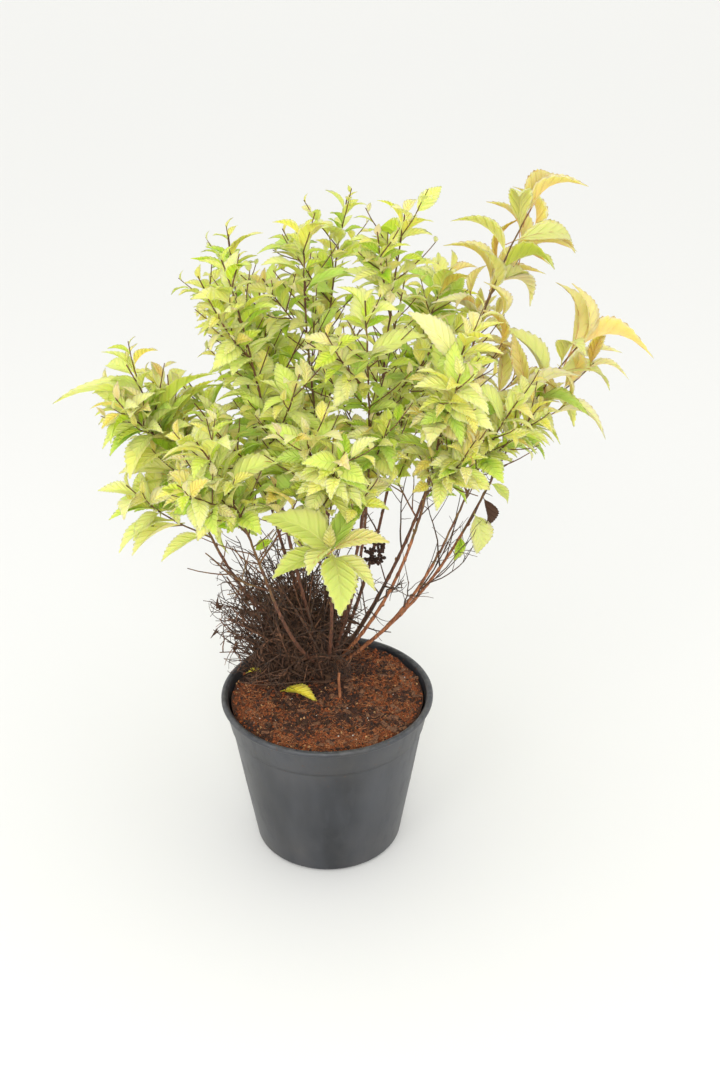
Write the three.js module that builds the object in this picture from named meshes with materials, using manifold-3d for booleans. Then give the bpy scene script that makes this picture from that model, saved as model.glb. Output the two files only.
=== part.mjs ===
// A young spirea in its round nursery pot: a clump of thin stems that fan out of one woody
// base, each ending in its own leafy spray, with dead twigs of earlier years at the foot.
// Millimetres, +Z up. The origin is the centre of the pot's flat underside.
import * as THREE from "three";
import { mergeVertices } from "three/addons/utils/BufferGeometryUtils.js";
import Module from "manifold-3d";

const wasm = await Module();
wasm.setup();
const { Manifold, Mesh } = wasm;

// ---------------------------------------------------------------- driving dimensions
const CLEARANCE = 0.35; // gap left between pieces that touch
const SLIVER = 0.12; // detail finer than this is cleared from fused pieces

const POT_HEIGHT = 105;
const RIM_RADIUS = 65.5;
const FOOT_RADIUS = 46.5;
const WALL = 1.2;
const FLOOR_THICKNESS = 1.6;
const FLOOR_FILLET = 2; // the wall meets the floor in a small bevel, inside and out
const LIP_WIDTH = 2.8;
const LIP_HEIGHT = 3.2;
const LIP_BEVEL = 0.8;
const BAND_HEIGHT = 17; // plain band between the lip and the stacking step
const STEP_DEPTH = 0.9;
const DRAIN_HOLES = 8;
const DRAIN_RADIUS = 4;
const DRAIN_RING_RADIUS = 36;
const DRAIN_SIDES = 8;
const POT_SIDES = 40;

const SOIL_LEVEL = 99; // where the soil meets the wall
const SOIL_MOUND = 4; // how much higher it stands round the plant
const SOIL_FLAT_RADIUS = 26; // level under the plant's base
const SOIL_SLOPE_WIDTH = 56; // from there down to the level at the wall
const SOIL_RELIEF = 0.7;
const SOIL_RINGS = 6;
const SOIL_SIDES = 32;

const PLANT_X = 10; // the plant stands a little behind the middle of its pot
const PLANT_Y = 27;
const BASE_RADIUS = 18; // a low woody dome, the top of a ball that is mostly buried
const BASE_SINK = 8;
const BASE_FLARE = 3;
const BASE_FLARE_HEIGHT = 1.2;
const BASE_ARC_STEPS = 5;
const BASE_SIDES = 20;

// One row for each living stem: which way it goes (degrees about the base, from +X towards
// +Y), how far out its tip hangs and how high above the soil it stands.
const STEMS = [
  { azimuth: 3, reach: 130, height: 286 },
  { azimuth: 356, reach: 158, height: 204 },
  { azimuth: 320, reach: 112, height: 196 },
  { azimuth: 34, reach: 128, height: 232 },
  { azimuth: 62, reach: 76, height: 280 },
  { azimuth: 96, reach: 104, height: 222 },
  { azimuth: 128, reach: 66, height: 268 },
  { azimuth: 163, reach: 112, height: 204 },
  { azimuth: 198, reach: 64, height: 272 },
  { azimuth: 219, reach: 116, height: 196 },
  { azimuth: 246, reach: 92, height: 198 },
  { azimuth: 272, reach: 62, height: 256 },
  { azimuth: 300, reach: 98, height: 240 },
  { azimuth: 330, reach: 44, height: 290 },
  { azimuth: 105, reach: 20, height: 276 },
];
const BASE_LEAN_GAIN = 1.6; // a stem leaves the base this much flatter than its tip lies
const WIDEST_LEAN = 66;
const SOCKET_SHARE = 0.75; // its socket lies at this share of that lean
const TIP_LEAN_GAIN = 1.05;
const BASE_PULL = 0.42; // how far each end's direction carries, over the stem's length
const TIP_PULL = 0.33;
const SIDE_SWAY = 0.07; // and how far it may stray sideways
const PATH_STEPS = 20;
const BOUGH_STEPS = 5; // bends of a stem's bare part, and of its leafy part
const LEADER_STEPS = 6;
const BARE_SHARE = 0.4; // of a stem's length, below its leafy spray
const STEM_FOOT_RADIUS = 1.9;
const STEM_TIP_RADIUS = 0.75;
const STEM_SIDES = 6;
const TWIG_SIDES = 3;

const GOLDEN_ANGLE = 137.508;
const LEADER_LEAVES = 12;
const LEAF_LENGTH = 52; // the longest leaves, a little below a shoot's tip
const LEAF_SLENDERNESS = 0.5; // width over length
const LEAF_WIDEST_AT = 0.42; // of its length
const LEAF_THICKNESS = 0.9;
const LEAF_ROOT_SINK = 3; // how far down inside the twig a leaf begins
const LEAF_FREE_SHARE = 0.25; // past this share of its length it may cross no other leaf

const SIDE_TWIGS = 4;
const SIDE_TWIGS_FROM = 0.46; // shares of the stem's length between which they stand
const SIDE_TWIGS_TO = 0.78;
const SIDE_TWIG_LENGTH = 64;
const SIDE_TWIG_STEPS = 3;
const SIDE_TWIG_LIFT = 0.13; // each step turns this much of the way upright
const SIDE_TWIG_LEAVES = 6;
const SIDE_TWIG_RADIUS = 0.85;
const SIDE_TWIG_LEAF_LENGTH = 39.5;

// Old dead stems stand lower among the living ones, mostly on the side away from +X.
const OLD_STEMS = [
  { azimuth: 75, lean: 40 },
  { azimuth: 145, lean: 48 },
  { azimuth: 180, lean: 36 },
  { azimuth: 228, lean: 30 },
  { azimuth: 345, lean: 34 },
];
const OLD_STEM_LENGTH = 62;
const OLD_STEM_STEPS = 5;
const OLD_STEM_RADIUS = 1.3;
const OLD_TWIGS = 7;
const OLD_TWIG_LENGTH = 30;
const OLD_TWIG_RADIUS = 0.6;

// ---------------------------------------------------------------- colours and finishes
const finish = (color, roughness) =>
  new THREE.MeshStandardMaterial({ color, roughness, metalness: 0 });
const potPlastic = finish(0x34363a, 0.42);
const pottingSoil = finish(0x3d2417, 0.95);
const baseWood = finish(0x4a3325, 0.9);
const stemBark = finish(0x6b3f2b, 0.75);
const deadWood = finish(0x35261e, 0.9);
const limeLeaf = finish(0xb4c651, 0.6);
const goldLeaf = finish(0xd6c25a, 0.6);
const apricotLeaf = finish(0xdd9b62, 0.6);
const fallenYellow = finish(0xd8cf3a, 0.65);

// ---------------------------------------------------------------- solids
// A closed three.js geometry as a solid: only positions count, and shared corners are merged.
function solidOf(geometry) {
  const bare = geometry.clone();
  bare.deleteAttribute("normal");
  bare.deleteAttribute("uv");
  const merged = mergeVertices(bare, 1e-4);
  return new Manifold(
    new Mesh({
      numProp: 3,
      vertProperties: merged.getAttribute("position").array,
      triVerts: new Uint32Array(merged.index.array),
    }),
  );
}

function geometryOf(solid) {
  const { numProp, vertProperties, triVerts, numVert } = solid.getMesh();
  const positions = new Float32Array(numVert * 3);
  for (let i = 0; i < numVert; i++) {
    positions.set(vertProperties.subarray(i * numProp, i * numProp + 3), i * 3);
  }
  const geometry = new THREE.BufferGeometry();
  geometry.setAttribute("position", new THREE.BufferAttribute(positions, 3));
  geometry.setIndex(new THREE.BufferAttribute(new Uint32Array(triVerts), 1));
  return geometry;
}

function meshOf(name, solid, material) {
  const geometry = geometryOf(solid);
  geometry.computeVertexNormals();
  const mesh = new THREE.Mesh(geometry, material);
  mesh.name = name;
  return mesh;
}

// Moves every corner of a geometry to where place() puts it.
function reshaped(geometry, place) {
  const positions = geometry.getAttribute("position");
  const corner = new THREE.Vector3();
  for (let i = 0; i < positions.count; i++) {
    const moved = place(corner.fromBufferAttribute(positions, i));
    positions.setXYZ(i, moved.x, moved.y, moved.z);
  }
  return geometry;
}

// Whether every corner of a solid has a place of its own.
const isCrisp = (solid) =>
  mergeVertices(geometryOf(solid), 1e-3).getAttribute("position").count === solid.numVert();

// Pieces fused into one outer body: the sliver faces that a union leaves are cleared away, a
// loose scrap is dropped, and a sealed hollow is filled. Where two corners still meet, a
// little more is cleared.
function fused(pieces, sliver = SLIVER) {
  const bodies = Manifold.union(pieces).asOriginal().simplify(sliver).decompose();
  const outer = bodies.reduce((a, b) => (b.volume() > a.volume() ? b : a));
  return isCrisp(outer) || sliver > 3 * SLIVER ? outer : fused(pieces, 1.2 * sliver);
}

// A turned shape: its profile runs from the axis at the bottom to the axis at the top.
function lathe(profile, sides) {
  const outline = profile.map(([radius, height]) => new THREE.Vector2(radius, height));
  return new THREE.LatheGeometry(outline, sides).rotateX(Math.PI / 2);
}

// ---------------------------------------------------------------- chance and directions
// A small repeatable random stream: every stem has its own, so one never disturbs another.
function chance(seed) {
  let state = seed >>> 0;
  return (low, high) => {
    state = (Math.imul(state, 1664525) + 1013904223) >>> 0;
    return low + ((high - low) * state) / 2 ** 32;
  };
}

const UP = new THREE.Vector3(0, 0, 1);
const radians = THREE.MathUtils.degToRad;
const mix = THREE.MathUtils.lerp;
const clamp01 = (value) => THREE.MathUtils.clamp(value, 0, 1);
const along = (point, way, distance) => point.clone().addScaledVector(way, distance);

const direction = (polar, azimuth) =>
  new THREE.Vector3(
    Math.sin(polar) * Math.cos(azimuth),
    Math.sin(polar) * Math.sin(azimuth),
    Math.cos(polar),
  );

// The part of a vector that stands square to a unit direction, as a unit vector.
const squareTo = (vector, way) =>
  vector.clone().addScaledVector(way, -vector.dot(way)).normalize();

// A unit vector square to a way, turned about it by an angle from as near upright as it gets.
function sideways(way, turn) {
  const isUpright = Math.abs(way.z) > 0.95;
  return squareTo(isUpright ? new THREE.Vector3(1, 0, 0) : UP, way).applyAxisAngle(way, turn);
}

// A unit vector that leans from one way over towards another by an angle.
const leaning = (way, towards, angle) =>
  way.clone().multiplyScalar(Math.cos(angle)).addScaledVector(towards, Math.sin(angle));

// A place on a path and the way it runs there; share goes from 0 at its foot to 1 at its tip.
function onPath(path, share) {
  const scaled = clamp01(share) * (path.length - 1);
  const step = Math.min(path.length - 2, Math.floor(scaled));
  const way = path[step + 1].clone().sub(path[step]);
  const point = along(path[step], way, scaled - step);
  return { point, way: way.normalize() };
}

// ---------------------------------------------------------------- pot
const wallTopRadius = RIM_RADIUS - LIP_WIDTH;

const innerWallRadius = (z) =>
  mix(FOOT_RADIUS, wallTopRadius, (z - FLOOR_THICKNESS) / (POT_HEIGHT - FLOOR_THICKNESS)) - WALL;

function drainCutter(i) {
  const turn = (2 * Math.PI * i) / DRAIN_HOLES;
  const length = 3 * FLOOR_THICKNESS;
  return solidOf(
    new THREE.CylinderGeometry(DRAIN_RADIUS, DRAIN_RADIUS, length, DRAIN_SIDES)
      .rotateX(Math.PI / 2)
      .translate(DRAIN_RING_RADIUS * Math.cos(turn), DRAIN_RING_RADIUS * Math.sin(turn), 0),
  );
}

function potSolid() {
  const lipFoot = POT_HEIGHT - LIP_HEIGHT;
  const stepHeight = lipFoot - BAND_HEIGHT;
  const stepRadius = mix(FOOT_RADIUS, wallTopRadius, stepHeight / POT_HEIGHT);
  const innerFoot = FLOOR_THICKNESS + FLOOR_FILLET;
  const profile = [
    [0, 0],
    [FOOT_RADIUS - FLOOR_FILLET, 0],
    [FOOT_RADIUS, FLOOR_FILLET],
    [stepRadius, stepHeight],
    [stepRadius + STEP_DEPTH, stepHeight + STEP_DEPTH],
    [wallTopRadius + STEP_DEPTH, lipFoot - STEP_DEPTH],
    [RIM_RADIUS, lipFoot],
    [RIM_RADIUS, POT_HEIGHT - LIP_BEVEL],
    [RIM_RADIUS - LIP_BEVEL, POT_HEIGHT],
    [wallTopRadius, POT_HEIGHT],
    [innerWallRadius(POT_HEIGHT), POT_HEIGHT - WALL],
    [innerWallRadius(innerFoot), innerFoot],
    [innerWallRadius(FLOOR_THICKNESS) - FLOOR_FILLET, FLOOR_THICKNESS],
    [0, FLOOR_THICKNESS],
  ];
  const drains = Array.from({ length: DRAIN_HOLES }, (_, i) => drainCutter(i));
  return solidOf(lathe(profile, POT_SIDES)).subtract(Manifold.union(drains));
}

// ---------------------------------------------------------------- soil
// It is level round the plant, falls away towards the wall, and is lightly crumbled.
function soilHeight(x, y) {
  const away = Math.hypot(x - PLANT_X, y - PLANT_Y) - SOIL_FLAT_RADIUS;
  const fall = clamp01(away / SOIL_SLOPE_WIDTH) ** 2;
  const calm = clamp01((4 * away) / SOIL_SLOPE_WIDTH);
  const crumble =
    Math.sin(x * 0.31 + 1.7) * Math.cos(y * 0.27 - 0.6) + 0.6 * Math.sin(x * 0.13 - y * 0.21);
  return SOIL_LEVEL + SOIL_MOUND * (1 - fall) + SOIL_RELIEF * calm * crumble;
}

function soilSolid() {
  const bottom = FLOOR_THICKNESS + CLEARANCE;
  const shoulder = bottom + FLOOR_FILLET;
  const wallGap = CLEARANCE + innerWallRadius(POT_HEIGHT) * (1 - Math.cos(Math.PI / POT_SIDES));
  const edge = innerWallRadius(SOIL_LEVEL - SOIL_MOUND) - wallGap;
  const top = Array.from({ length: SOIL_RINGS }, (_, i) => [
    (edge * (SOIL_RINGS - i)) / SOIL_RINGS,
    SOIL_LEVEL,
  ]);
  const profile = [
    [0, bottom],
    [innerWallRadius(bottom) - FLOOR_FILLET - wallGap, bottom],
    [innerWallRadius(shoulder) - wallGap, shoulder],
    ...top,
    [0, SOIL_LEVEL],
  ];
  const relief = (corner) =>
    corner.z < SOIL_LEVEL / 2 ? corner : corner.setZ(soilHeight(corner.x, corner.y));
  return solidOf(reshaped(lathe(profile, SOIL_SIDES), relief));
}

// ---------------------------------------------------------------- the shrub's growth rule
// From here on the shrub has its own frame, with the origin on the soil under its base.
const baseCentre = new THREE.Vector3(0, 0, CLEARANCE - BASE_SINK);

function baseSolid() {
  const rim = Math.acos(BASE_SINK / BASE_RADIUS);
  const dome = Array.from({ length: BASE_ARC_STEPS }, (_, i) => {
    const turn = rim * (1 - (i + 1) / BASE_ARC_STEPS);
    return [BASE_RADIUS * Math.sin(turn), BASE_RADIUS * Math.cos(turn) - BASE_SINK];
  });
  const foot = BASE_RADIUS * Math.sin(rim) + BASE_FLARE;
  const profile = [[0, 0], [foot, 0], [foot - BASE_FLARE / 2, BASE_FLARE_HEIGHT], ...dome];
  return solidOf(lathe(profile, BASE_SIDES).translate(0, 0, CLEARANCE));
}

// Where a stem that leaves the base with this lean begins: its flat end is just clear of it.
function socket(lean, azimuth, radius) {
  const seat = SOCKET_SHARE * lean;
  const stand = 1.2 * CLEARANCE + radius * Math.sin(lean - seat);
  return along(baseCentre, direction(seat, azimuth), BASE_RADIUS + stand);
}

// A living stem leaves the base flatter than its tip lies, straightens up, and nods outwards.
function livingStem(row, k) {
  const draw = chance(1000 + 77 * k);
  const azimuth = radians(row.azimuth);
  const aim = Math.atan2(row.reach, row.height);
  const lean = Math.min(BASE_LEAN_GAIN * aim, radians(WIDEST_LEAN));
  const foot = socket(lean, azimuth, STEM_FOOT_RADIUS);
  const tip = direction(aim, azimuth).multiplyScalar(Math.hypot(row.reach, row.height));
  const chord = foot.distanceTo(tip);
  const aside = direction(Math.PI / 2, azimuth + Math.PI / 2);
  const sway = () => draw(-SIDE_SWAY, SIDE_SWAY) * chord;
  const lower = along(foot, direction(lean, azimuth), BASE_PULL * chord);
  const upper = along(tip, direction(TIP_LEAN_GAIN * aim, azimuth), -TIP_PULL * chord);
  lower.addScaledVector(aside, sway());
  upper.addScaledVector(aside, sway());
  const path = new THREE.CubicBezierCurve3(foot, lower, upper, tip).getPoints(PATH_STEPS);
  const length = path.slice(1).reduce((sum, point, i) => sum + point.distanceTo(path[i]), 0);
  return { path, length, draw };
}

const stemRadius = (share) => mix(STEM_FOOT_RADIUS, STEM_TIP_RADIUS, share ** 0.7);
const sideTwigRadius = (share) => SIDE_TWIG_RADIUS * mix(1, 0.6, share);
const oldStemRadius = (share) => OLD_STEM_RADIUS * mix(1, 0.5, share);
const oldTwigRadius = (share) => OLD_TWIG_RADIUS * mix(1, 0.6, share);

// Leaves are counted from a shoot's tip: the first are small and crowded, the fifth is the
// longest, and further down they grow shorter and stand wider apart.
const leafOffset = (n) => 2.5 + 4.5 * n + 0.5 * n * n;
const leafSize = (n) =>
  n < 4 ? mix(0.36, 1, Math.sin((Math.PI * n) / 8)) : mix(1, 0.62, (n - 4) / 8);

// A leaf starts inside its twig, rises off it, and bends over with its own weight.
function leafOn(path, length, n, longest, draw) {
  const { point, way } = onPath(path, 1 - leafOffset(n) / length);
  const outward = sideways(way, radians(GOLDEN_ANGLE * n + draw(-14, 37)));
  const rise = radians(mix(38, 74, clamp01(n / 7)) + draw(-10, 10));
  const blade = leaning(way, outward, rise);
  blade.z = 0.8 * blade.z - 0.06 - 0.025 * n;
  blade.normalize();
  const size = longest * leafSize(n) * draw(0.84, 1.14);
  return {
    root: along(point, way, -LEAF_ROOT_SINK),
    joint: point,
    blade,
    face: squareTo(along(UP, way, 0.55), blade),
    length: size,
    width: size * LEAF_SLENDERNESS * draw(0.88, 1.12),
    arch: size * draw(0.09, 0.16),
    fold: size * draw(0.02, 0.07),
  };
}

const leavesOn = (path, length, count, longest, draw) =>
  Array.from({ length: count }, (_, n) => leafOn(path, length, n, longest, draw));

// Side twigs leave the stem's leafy part one above the other and turn up towards the light.
function sideTwig(stem, i) {
  const { draw } = stem;
  const level = i / (SIDE_TWIGS - 1);
  const share = mix(SIDE_TWIGS_FROM, SIDE_TWIGS_TO, level) + draw(-0.02, 0.02);
  const { point, way } = onPath(stem.path, share);
  const length = SIDE_TWIG_LENGTH * mix(1.1, 0.8, level) * draw(0.85, 1.12);
  const outward = sideways(way, radians(GOLDEN_ANGLE * i + draw(130, 200)));
  const first = leaning(way, outward, radians(draw(38, 52)));
  const path = [along(point, way, -LEAF_ROOT_SINK), point];
  for (let j = 1; j <= SIDE_TWIG_STEPS; j++) {
    const bent = first.clone().lerp(UP, SIDE_TWIG_LIFT * j).normalize();
    path.push(along(path[j], bent, length / SIDE_TWIG_STEPS));
  }
  const whole = length + LEAF_ROOT_SINK;
  return { path, leaves: leavesOn(path, whole, SIDE_TWIG_LEAVES, SIDE_TWIG_LEAF_LENGTH, draw) };
}

// An old stem is a short bare stub that bristles with fine dead twigs.
function oldStem(row, k) {
  const draw = chance(5000 + 91 * k);
  const lean = radians(row.lean);
  const azimuth = radians(row.azimuth);
  const length = OLD_STEM_LENGTH * draw(0.85, 1.15);
  const path = [socket(lean, azimuth, OLD_STEM_RADIUS)];
  for (let i = 0; i < OLD_STEM_STEPS; i++) {
    const way = direction(lean * (1 - 0.08 * i), azimuth + draw(-0.15, 0.15));
    path.push(along(path[i], way, length / OLD_STEM_STEPS));
  }
  const twigs = Array.from({ length: OLD_TWIGS }, (_, n) => {
    const { point, way } = onPath(path, mix(0.3, 0.95, n / (OLD_TWIGS - 1)));
    const outward = sideways(way, radians(GOLDEN_ANGLE * n + draw(0, 46)));
    const first = leaning(way, outward, radians(draw(45, 85)));
    const half = (OLD_TWIG_LENGTH * draw(0.5, 1.1)) / 2;
    const elbow = along(point, first, half);
    const second = along(along(first, outward, draw(-0.3, 0.3)), UP, draw(0, 0.5));
    return [point, elbow, along(elbow, second.normalize(), half)];
  });
  return { path, twigs };
}

// ---------------------------------------------------------------- limbs and leaves as solids
// A tapering limb along part of a path: a cylinder's rings are laid on it one after another.
function limbSolid(path, from, to, radiusAt, sides, steps) {
  const rise = path[path.length - 1].clone().sub(path[0]);
  const level = new THREE.Vector3().crossVectors(UP, rise);
  const reference = level.length() > 1 ? level.normalize() : new THREE.Vector3(0, 1, 0);
  const limb = new THREE.CylinderGeometry(1, 1, 1, sides, steps);
  const laid = reshaped(limb, (corner) => {
    const share = mix(from, to, corner.y + 0.5);
    const { point, way } = onPath(path, share);
    const across = squareTo(reference, way);
    const over = new THREE.Vector3().crossVectors(across, way);
    const radius = radiusAt(share);
    return along(along(point, across, corner.x * radius), over, corner.z * radius);
  });
  return solidOf(laid);
}

// A leaf is an octahedron drawn out into a blade: two corners are its root and tip, two its
// edges where it is widest, and two the upper and lower side of its midrib there.
function leafSolid(leaf) {
  const { root, joint, blade, face, length, width, arch, fold } = leaf;
  const across = new THREE.Vector3().crossVectors(face, blade);
  const tip = along(along(joint, blade, length), face, -arch / 2);
  const middle = along(along(joint, blade, LEAF_WIDEST_AT * length), face, arch);
  const drawnOut = reshaped(new THREE.OctahedronGeometry(1), ({ x, y, z }) => {
    if (x < -0.5) return root;
    if (x > 0.5) return tip;
    const edge = along(middle, across, (y * width) / 2);
    return along(edge, face, Math.abs(y) * fold + (z * LEAF_THICKNESS) / 2);
  });
  return solidOf(drawnOut);
}

// The outer part of a leaf, which may not cross another leaf of its own spray.
function outerLeafSolid(leaf) {
  const root = along(leaf.joint, leaf.blade, LEAF_FREE_SHARE * leaf.length);
  return leafSolid({ ...leaf, root });
}

// ---------------------------------------------------------------- keeping clear
function boxesNear(a, b) {
  const p = a.boundingBox();
  const q = b.boundingBox();
  return [0, 1, 2].every(
    (i) => p.min[i] - CLEARANCE < q.max[i] && q.min[i] - CLEARANCE < p.max[i],
  );
}

const isClear = (solid, others) =>
  others.every((other) => !boxesNear(solid, other) || solid.minGap(other, 1) > CLEARANCE);

function centreOf(solid) {
  const { min, max } = solid.boundingBox();
  return new THREE.Vector3(...min).lerp(new THREE.Vector3(...max), 0.5);
}

// How far a point is from the leafy part of a stem.
function distanceToLeader(point, stem) {
  const samples = 9;
  const distances = Array.from({ length: samples }, (_, i) => {
    const share = mix(BARE_SHARE, 1, i / (samples - 1));
    return onPath(stem.path, share).point.distanceTo(point);
  });
  return Math.min(...distances);
}

// Each spray's own space is what lies nearer to its stem than to any other.
function isInSpaceOf(stem, stems, point) {
  const own = distanceToLeader(point, stem);
  return stems.every((other) => other === stem || distanceToLeader(point, other) > own);
}

// ---------------------------------------------------------------- sprays
// A leafy spray: its stem's upper part with that part's leaves, then the side twigs with
// theirs. What would leave the spray's space or come near another piece is left off.
function spraySolid(stem, stems, leader, others) {
  const belongs = (solid) =>
    isInSpaceOf(stem, stems, centreOf(solid)) && isClear(solid, others);
  const pieces = [leader];
  const blades = [];
  const addLeaf = (leaf) => {
    const whole = leafSolid(leaf);
    const blade = outerLeafSolid(leaf);
    if (!belongs(whole) || !isClear(blade, blades)) return;
    pieces.push(whole);
    blades.push(blade);
  };
  leavesOn(stem.path, stem.length, LEADER_LEAVES, LEAF_LENGTH, stem.draw).forEach(addLeaf);
  for (let i = 0; i < SIDE_TWIGS; i++) {
    const { path, leaves } = sideTwig(stem, i);
    const limb = limbSolid(path, 0, 1, sideTwigRadius, TWIG_SIDES, path.length - 1);
    if (!belongs(limb)) continue;
    pieces.push(limb);
    leaves.forEach(addLeaf);
  }
  return fused(pieces);
}

function oldTwigsSolid({ path, twigs }, others) {
  const stub = limbSolid(path, 0, 1, oldStemRadius, TWIG_SIDES, OLD_STEM_STEPS);
  const fineTwigs = twigs
    .map((twig) => limbSolid(twig, 0, 1, oldTwigRadius, TWIG_SIDES, twig.length - 1))
    .filter((twig) => isClear(twig, others));
  return fused([stub, ...fineTwigs]);
}

// ---------------------------------------------------------------- the potted plant
const planter = new THREE.Group();
const pot = potSolid();
const soil = soilSolid();
planter.add(meshOf("pot", pot, potPlastic), meshOf("soil", soil, pottingSoil));

// Shed leaves lie flat on the soil: each is lowered until only the usual clearance is left.
function addShedLeaf(name, x, y, length, azimuth) {
  const start = new THREE.Vector3(x, y, POT_HEIGHT + length);
  let leaf = leafSolid({
    root: start,
    joint: start,
    blade: direction(Math.PI / 2, radians(azimuth)),
    face: UP,
    length,
    width: 0.45 * length,
    arch: 0.1 * length,
    fold: -0.04 * length,
  });
  const passes = 4;
  for (let pass = 0; pass < passes; pass++) {
    leaf = leaf.translate([0, 0, CLEARANCE - leaf.minGap(soil, POT_HEIGHT)]);
  }
  planter.add(meshOf(name, leaf, fallenYellow));
}
addShedLeaf("shed_leaf_1", -30, 6, 25, -28);
addShedLeaf("shed_leaf_2", -43, 36, 13, -12);

const shrub = new THREE.Group();
shrub.position.set(PLANT_X, PLANT_Y, SOIL_LEVEL + SOIL_MOUND);
const inShrubFrame = (solid) => solid.translate(shrub.position.clone().negate().toArray());
const placed = [inShrubFrame(pot), inShrubFrame(soil)]; // what later growth keeps clear of

function addToShrub(name, solid, material) {
  placed.push(solid);
  shrub.add(meshOf(name, solid, material));
}

addToShrub("woody_base", baseSolid(), baseWood);

const stems = STEMS.map(livingStem);
stems.forEach((stem, i) => {
  const bough = limbSolid(stem.path, 0, BARE_SHARE, stemRadius, STEM_SIDES, BOUGH_STEPS);
  addToShrub(`stem_${i + 1}`, bough, stemBark);
});

// Every stem's upper part is known before any leaf, so that no leaf gets in its way.
const leaders = stems.map((stem) => {
  const from = BARE_SHARE + CLEARANCE / stem.length;
  return limbSolid(stem.path, from, 1, stemRadius, TWIG_SIDES, LEADER_STEPS);
});
const sprayTints = [apricotLeaf, goldLeaf, limeLeaf, limeLeaf, limeLeaf, goldLeaf, limeLeaf];
stems.forEach((stem, i) => {
  const otherLeaders = leaders.filter((leader) => leader !== leaders[i]);
  const spray = spraySolid(stem, stems, leaders[i], [...placed, ...otherLeaders]);
  addToShrub(`leafy_spray_${i + 1}`, spray, sprayTints[i % sprayTints.length]);
});

OLD_STEMS.map(oldStem).forEach((old, i) => {
  addToShrub(`old_twigs_${i + 1}`, oldTwigsSolid(old, placed), deadWood);
});

const pottedSpirea = new THREE.Group();
pottedSpirea.add(planter, shrub);
export default pottedSpirea;
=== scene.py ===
# %% [markdown]
# # A young spirea in its nursery pot
# This lesson dresses a plain solid model as the real plant: a clump of thin stems that fan out
# of one woody base, each ending in a loose leafy spray that is turning from lime to apricot,
# with a tangle of dead twigs at its foot, in a round pot of dark plastic filled with red-brown
# coir. The imported model is loaded first. Every main piece grows where its solid stands, and
# the model's box is kept so that the spurs and the leaves stay within its reach.
# %% Load the imported model
import math

import bmesh
import bpy
import numpy as np
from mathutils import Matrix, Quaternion, Vector, noise


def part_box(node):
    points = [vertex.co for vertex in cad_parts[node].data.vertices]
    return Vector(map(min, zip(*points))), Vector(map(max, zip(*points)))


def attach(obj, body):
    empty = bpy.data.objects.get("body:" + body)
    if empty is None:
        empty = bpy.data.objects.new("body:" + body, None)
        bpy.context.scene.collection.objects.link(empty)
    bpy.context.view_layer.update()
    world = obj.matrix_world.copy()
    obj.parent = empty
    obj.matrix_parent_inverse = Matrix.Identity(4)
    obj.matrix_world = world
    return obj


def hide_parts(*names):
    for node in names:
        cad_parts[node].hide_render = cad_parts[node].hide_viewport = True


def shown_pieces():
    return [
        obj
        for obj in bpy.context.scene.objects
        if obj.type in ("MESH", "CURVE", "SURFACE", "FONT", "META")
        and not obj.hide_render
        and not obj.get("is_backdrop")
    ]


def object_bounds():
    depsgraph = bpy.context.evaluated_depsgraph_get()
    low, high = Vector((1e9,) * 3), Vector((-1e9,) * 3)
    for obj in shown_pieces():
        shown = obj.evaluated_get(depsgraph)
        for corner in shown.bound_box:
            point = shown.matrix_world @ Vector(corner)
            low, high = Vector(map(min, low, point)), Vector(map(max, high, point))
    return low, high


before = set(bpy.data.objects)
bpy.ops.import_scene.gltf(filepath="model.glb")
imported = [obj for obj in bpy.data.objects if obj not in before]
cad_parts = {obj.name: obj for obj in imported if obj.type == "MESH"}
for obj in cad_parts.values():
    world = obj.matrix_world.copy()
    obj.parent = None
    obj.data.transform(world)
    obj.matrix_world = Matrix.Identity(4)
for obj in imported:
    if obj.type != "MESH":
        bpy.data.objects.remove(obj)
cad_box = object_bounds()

MM = 0.001
UP = Vector((0, 0, 1))
print("packed model:", len(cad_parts), "nodes, box in mm:",
      [[round(v / MM, 1) for v in corner] for corner in cad_box])

# %% [markdown]
# ## Camera, floor and light
# The plant stands in bright, even light, as under a big window. The camera stands where a
# person's eyes are who leans over the bench: above the rim and a little to the left, so that
# the soil shows and the stems are seen against the pale floor. A sky of one soft white does
# most of the work, a weak lamp from the upper left gives the leaves a lit side, and a stronger
# one in front keeps the shade between them light.
# %% Camera, floor and light
EYE = Vector((-0.185, -0.601, 0.530))  # places of the camera and lamps are in metres
LOOK_AT = Vector((0.030, 0.025, 0.192))
LENS = 40.5

camera_data = bpy.data.cameras.new("camera")
camera_data.lens = LENS
camera = bpy.data.objects.new("camera", camera_data)
bpy.context.scene.collection.objects.link(camera)
camera.location = EYE
camera.rotation_euler = (LOOK_AT - EYE).to_track_quat("-Z", "Y").to_euler()
bpy.context.scene.camera = camera

bpy.ops.object.select_all(action="DESELECT")
bpy.ops.mesh.primitive_plane_add(size=60, location=(0, 0, 0))
floor = bpy.context.object
floor.name = "floor"
floor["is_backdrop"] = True

SKY_COLOUR = (1.0, 1.0, 0.985, 1)
SKY_STRENGTH = 1.15
sky = bpy.data.worlds.new("sky")
sky.use_nodes = True
sky.node_tree.nodes["Background"].inputs["Color"].default_value = SKY_COLOUR
sky.node_tree.nodes["Background"].inputs["Strength"].default_value = SKY_STRENGTH
bpy.context.scene.world = sky
bpy.context.scene.view_settings.view_transform = "Standard"


def lamp(name, place, size, watts, blue=1.0):
    """A round lamp that shines at the plant; blue is 1 in white light and less in warm."""
    data = bpy.data.lights.new(name, "AREA")
    data.shape = "DISK"
    data.size = size
    data.energy = watts
    data.color = (1, (1 + blue) / 2, blue)
    light = bpy.data.objects.new(name, data)
    bpy.context.scene.collection.objects.link(light)
    light.location = place
    light.rotation_euler = (LOOK_AT - Vector(place)).to_track_quat("-Z", "Y").to_euler()


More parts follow.
